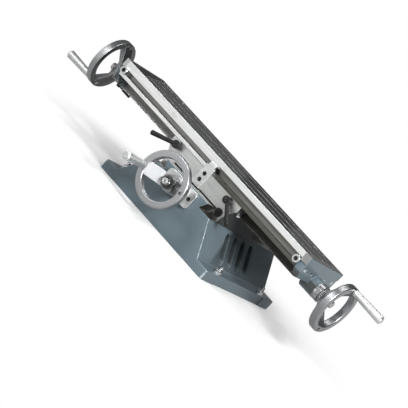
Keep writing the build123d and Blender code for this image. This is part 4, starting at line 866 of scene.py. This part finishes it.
def body_of(node):
    bodies = frame["record"]["behaviour"]["bodies"]
    return next(body for body, carried in bodies.items() if node in carried)


def dress(nodes, material):
    """Gives CAD nodes their finish, without touching their shape."""
    for name in nodes:
        mesh = frame["nodes"][name].data
        mesh.materials.clear()
        mesh.materials.append(material)


def polish(nodes, material):
    """Stands merged copies of round CAD nodes in their place, so that their curves shade smoothly."""
    for name in nodes:
        piece = frame["nodes"][name].copy()
        piece.data = piece.data.copy()
        piece.parent = None
        del piece["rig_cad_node"]
        piece.name = f"{name}_smooth"
        bpy.context.collection.objects.link(piece)
        piece.data.materials.clear()
        piece.data.materials.append(material)
        select_only(piece)
        bpy.ops.object.mode_set(mode="EDIT")
        bpy.ops.mesh.select_all(action="SELECT")
        bpy.ops.mesh.remove_doubles(threshold=MERGE_DISTANCE)
        bpy.ops.object.mode_set(mode="OBJECT")
        bpy.ops.object.shade_smooth_by_angle(angle=SMOOTH_ANGLE)
        bpy.ops.object.modifier_add(type="WEIGHTED_NORMAL")
        piece.modifiers[-1].keep_sharp = True
        bpy.ops.object.modifier_apply(modifier=piece.modifiers[-1].name)
        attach(piece, body_of(name))
        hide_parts(name)


def dial_start(end, centre, axis, outward):
    """Where a dial's drum begins, along its screw from the screw's middle."""
    line = "XY".index(axis)
    dial_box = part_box(f"{end}_dial")
    inner_side = dial_box[0] if outward > 0 else dial_box[1]
    return inner_side[line] - centre[line]


def polish_wheel_end(end, centre, axis, outward):
    """The handwheel at one end of a screw, with its nut, handle and dial."""
    # Painted shade: the right wheel takes darker tones; the cross wheel alone gets painted light and shade
    # on its arms, and the most painted shade round its hub
    pale, shade = (ALUMINIUM, ALUMINIUM_SHADED) if end == "right" else (ALUMINIUM_PALE, ALUMINIUM)
    hub_shade, arm_lighting = (0.80, 1.0) if end == "cross" else (0.45, 0.0)
    wheel = wheel_aluminium(
        f"{end}_wheel_aluminium", centre, axis, outward, pale, shade, hub_shade, arm_lighting
    )
    polish((f"{end}_handwheel",), wheel)

    line = "XY".index(axis)
    nut_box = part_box(f"{end}_wheel_nut")
    nut_reach = max(abs(corner[line] - centre[line]) for corner in nut_box)
    flange = nut_reach - WHEEL_NUT_HEIGHT + WHEEL_NUT_FLANGE
    nut = wheel_nut(f"{end}_nut_steel", centre, axis, flange)
    polish((f"{end}_wheel_nut",), nut)

    grip_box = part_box(f"{end}_handle_grip")
    grip = grip_satin(f"{end}_grip_satin", (grip_box[0] + grip_box[1]) / 2, axis)
    polish((f"{end}_handle_grip", f"{end}_handle_pin"), grip)

    start = dial_start(end, centre, axis, outward)
    drum = (start, start + outward * DIAL_DRUM)
    dial = graduated(f"{end}_dial_satin", centre, axis, drum)
    polish((f"{end}_dial",), dial)


def joined(name, pieces):
    """Several pieces made one, named."""
    select_only(pieces[0])
    for piece in pieces:
        piece.select_set(True)
    bpy.ops.object.join()
    whole = bpy.context.object
    whole.name = name
    return whole


def stud_end(x, y, foot):
    """The threaded end of a hold-down stud, standing out of its nut: ridges, then a chamfer."""
    bpy.ops.object.select_all(action="DESELECT")
    bpy.ops.mesh.primitive_cylinder_add(
        vertices=STUD_CORNERS,
        radius=STUD_RADIUS,
        depth=STUD_RIDGE,
        location=(x, y, foot + STUD_RIDGE / 2),
    )
    stud = bpy.context.object
    bpy.ops.object.transform_apply(location=True, rotation=True, scale=True)
    bpy.ops.object.mode_set(mode="EDIT")
    bpy.ops.mesh.select_mode(type="FACE")
    bpy.ops.mesh.select_all(action="DESELECT")
    bpy.ops.object.mode_set(mode="OBJECT")
    for face in stud.data.polygons:
        face.select = face.normal.z > FACING_FULLY
    bpy.ops.object.mode_set(mode="EDIT")
    ridge_scales = (STUD_ROOT_SHARE, 1 / STUD_ROOT_SHARE) * STUD_RIDGES
    height = foot + STUD_RIDGE
    for scale in (*ridge_scales, STUD_ROOT_SHARE):
        height += STUD_RIDGE
        bpy.ops.mesh.extrude_region_move(TRANSFORM_OT_translate={"value": (0, 0, STUD_RIDGE)})
        bpy.ops.transform.resize(value=(scale, scale, 1), center_override=(x, y, height))
    bpy.ops.object.mode_set(mode="OBJECT")
    bpy.ops.object.shade_smooth_by_angle(angle=STUD_SMOOTH_ANGLE)
    return stud


def hold_down_studs(material):
    """The four stud ends, on the nuts that hold the base down."""
    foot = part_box("hold_down_bolts")[1].z - STUD_SINK
    ends = [stud_end(x, y, foot) for x in (-BOLT_X, BOLT_X) for y in (-BOLT_Y, BOLT_Y)]
    studs = joined("hold_down_stud_ends", ends)
    studs.data.materials.append(material)
    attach(studs, "base")


def numeral(text, middle, up, outward):
    """One numeral as a thin mesh, upright along one direction and facing another."""
    bpy.ops.object.select_all(action="DESELECT")
    bpy.ops.object.text_add()
    piece = bpy.context.object
    piece.data.body = text
    piece.data.align_x = "CENTER"
    piece.data.size = DIAL_NUMBER_SIZE
    piece.data.extrude = DIAL_NUMBER_THICKNESS
    piece.data.resolution_u = 3
    bpy.ops.object.convert(target="MESH")
    turn = Matrix((up.cross(outward), up, outward)).transposed().to_4x4()
    piece.matrix_world = Matrix.Translation(middle - up * DIAL_NUMBER_CAPITAL / 2) @ turn
    bpy.ops.object.transform_apply(location=True, rotation=True, scale=True)
    return piece


def dial_numbers(end, centre, axis, outward, material):
    """0 to 90 round a dial, zero at the top, read from the wheel's side."""
    line = Vector((1, 0, 0)) if axis == "X" else Vector((0, 1, 0))
    across = Vector((0, 1, 0)) if axis == "X" else Vector((1, 0, 0))
    start = dial_start(end, centre, axis, outward)
    middle = centre + line * (start + outward * DIAL_DRUM * DIAL_NUMBER_SHARE)
    numerals = []
    for tens in range(TENTH_LINES):
        angle = pi / 2 + outward * tens * 2 * pi / TENTH_LINES
        away = across * cos(angle) + Vector((0, 0, sin(angle)))
        text = str(tens * LINES // TENTH_LINES)
        numerals.append(numeral(text, middle + away * DIAL_RADIUS, -outward * line, away))
    numbers = joined(f"{end}_dial_numbers", numerals)
    numbers.data.materials.append(material)
    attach(numbers, f"{end}_dial")


def pale_floor():
    """A floor that keeps the shadow near the object and is white to the camera further out."""
    bpy.ops.mesh.primitive_plane_add(size=FLOOR_SIZE, location=(0, 0, 0))
    floor = bpy.context.object
    floor.name = "floor"
    finish = Finish("pale_floor", roughness=FLOOR_ROUGHNESS)
    seen = finish.node("ShaderNodeLightPath", output="Is Camera Ray")
    mirrored = finish.node("ShaderNodeLightPath", output="Is Glossy Ray")
    finish.set("Base Color", finish.blend(seen, FLOOR_GREY, FLOOR_WHITE))
    x, y = finish.coordinates("XY")
    away = (x * x + y * y).root()
    glow_seen = FLOOR_GLOW + away.ramp(*FLOOR_SHADOW_REACH) * (1 - FLOOR_GLOW)
    sheen = FLOOR_SHEEN_NEAR + away.ramp(*FLOOR_SHEEN_REACH) * (FLOOR_SHEEN_FAR - FLOOR_SHEEN_NEAR)
    share = seen * glow_seen + mirrored * sheen
    lit = Amount(finish, finish.shader.outputs[0])
    glow = finish.node("ShaderNodeEmission", None, {"Color": WHITE, "Strength": 1.0})
    mixed = finish.node("ShaderNodeMixShader", None, {0: share, 1: lit, 2: glow})
    finish.feed(finish.tree.nodes["Material Output"].inputs[0], mixed)
    floor.data.materials.append(finish.material)


def white_world():
    """A world that is white to the camera, and darker overhead and behind in what a shine shows."""
    world = bpy.data.worlds.new("studio")
    bpy.context.scene.world = world
    world.use_nodes = True
    sky = Nodes(world.node_tree)
    seen = sky.node("ShaderNodeLightPath", output="Is Camera Ray")
    mirrored = sky.node("ShaderNodeLightPath", output="Is Glossy Ray")
    direction = sky.node("ShaderNodeTexCoord", output="Generated")
    rearward = sky.part(direction, "Y")
    upward = sky.part(direction, "Z")
    ceiling = upward.fade(CEILING_TURN, 1.0, CEILING_SHEEN / FRONT_SHEEN)
    rear = rearward.fade(REAR_TURN, 1.0, REAR_SHEEN / FRONT_SHEEN)
    sheen = ceiling * rear * FRONT_SHEEN
    ambient = rearward.fade(REAR_AMBIENT_TURN, AMBIENT, REAR_AMBIENT)
    strength = sky.mix(seen, sky.mix(mirrored, ambient, sheen), 1.0)
    background = sky.tree.nodes["Background"]
    sky.feed(background.inputs["Color"], WHITE)
    sky.feed(background.inputs["Strength"], strength)


def lamp(name, place, aim, size, power):
    """A square soft box that looks at a point."""
    bpy.ops.object.light_add(type="AREA", location=place)
    light = bpy.context.object
    light.name = name
    light.data.shape = "SQUARE"
    light.data.size = size
    light.data.energy = power
    direction = Vector(aim) - Vector(place)
    light.rotation_euler = direction.to_track_quat("-Z", "Y").to_euler()


def camera():
    """The fitted camera: azimuth from -Y towards +X, elevation, and the roll of the picture."""
    back = Vector((
        sin(CAMERA_AZIMUTH) * cos(CAMERA_ELEVATION),
        -cos(CAMERA_AZIMUTH) * cos(CAMERA_ELEVATION),
        sin(CAMERA_ELEVATION),
    ))
    right = Vector((cos(CAMERA_AZIMUTH), sin(CAMERA_AZIMUTH), 0))
    up = back.cross(right)
    target = Vector((0, 0, CAMERA_AIM_HEIGHT)) + right * CAMERA_SHIFT_RIGHT + up * CAMERA_SHIFT_UP
    side = right * cos(CAMERA_ROLL) + up * sin(CAMERA_ROLL)
    top = up * cos(CAMERA_ROLL) - right * sin(CAMERA_ROLL)
    turn = Matrix((side, top, back)).transposed().to_4x4()
    bpy.ops.object.camera_add()
    eye = bpy.context.object
    eye.name = "photo_camera"
    eye.matrix_world = Matrix.Translation(target + back * CAMERA_DISTANCE) @ turn
    eye.data.sensor_width = SENSOR_WIDTH
    eye.data.lens = FOCAL_PIXELS * SENSOR_WIDTH / PICTURE_PIXELS
    eye.data.clip_end = VIEW_END
    bpy.context.scene.camera = eye


# Castings, fasteners and screws, in their own shapes
zinc = machined("bright_zinc", STEEL, STEEL_SHADE, ZINC_ROUGHNESS)
black_steel = blackened("black_steel")
number_ink = blackened("number_ink", worn_share=0.0)
dress(("base_casting",), base_paint())
dress(("left_end_bracket", "right_end_bracket"), bracket_paint())
dress(("table_top",), table_iron())
dress(("saddle_casting",), saddle_iron())
dress(("x_gib", "y_gib"), machined("gib_steel", BARE_IRON, STEEL_SHADE, GIB_ROUGHNESS))
dress(
    ("y_bearing_plate", "stop_block"),
    machined("plate_steel", STEEL_PALE, GROUND_SATIN, PLATE_ROUGHNESS, marked=True),
)
dress(
    ("hold_down_bolts", "hold_down_washers", "left_bracket_screws", "right_bracket_screws",
     "left_stop_ring", "right_stop_ring", "left_stop_nut", "right_stop_nut", "x_gib_screws"),
    zinc,
)
dress(("x_leadscrew",), threaded("x_screw_thread", X_SCREW_CENTRE, "X"))
dress(("y_leadscrew",), threaded("y_screw_thread", Y_SCREW_CENTRE, "Y"))
dress(("y_plate_screws", "stop_block_screws", "feed_nut_screws", "y_gib_screws"), black_steel)
dress(
    ("x_feed_nut", "y_feed_nut", "left_screw_bush", "right_screw_bush", "front_cross_bush",
     "rear_cross_bush"),
    bronze(),
)

# Round pieces, shaded smoothly, and what is added to the model
WHEEL_ENDS = (
    ("left", X_SCREW_CENTRE, "X", -1),
    ("right", X_SCREW_CENTRE, "X", 1),
    ("cross", Y_SCREW_CENTRE, "Y", -1),
)
for end, centre, axis, outward in WHEEL_ENDS:
    polish_wheel_end(end, centre, axis, outward)
polish(
    ("left_clamp_lever", "right_clamp_lever", "left_clamp_stud", "right_clamp_stud", "lock_spindle",
     "lock_grip", "left_stop_screw", "right_stop_screw"),
    black_steel,
)
for end, centre, axis, outward in WHEEL_ENDS:
    dial_numbers(end, centre, axis, outward, number_ink)
hold_down_studs(zinc)

# Floor, light and camera
pale_floor()
white_world()
lamp("left_box", place=(-1.25, -2.70, 1.75), aim=(0, 0, 0.1), size=1.0, power=38)
lamp("right_box", place=(1.90, -1.95, 1.55), aim=(0, 0, 0.1), size=0.8, power=100)
lamp("overhead_box", place=(0.0, -0.2, 2.9), aim=(0, 0, 0), size=1.0, power=24)
camera()
bpy.context.scene.view_settings.view_transform = "Standard"
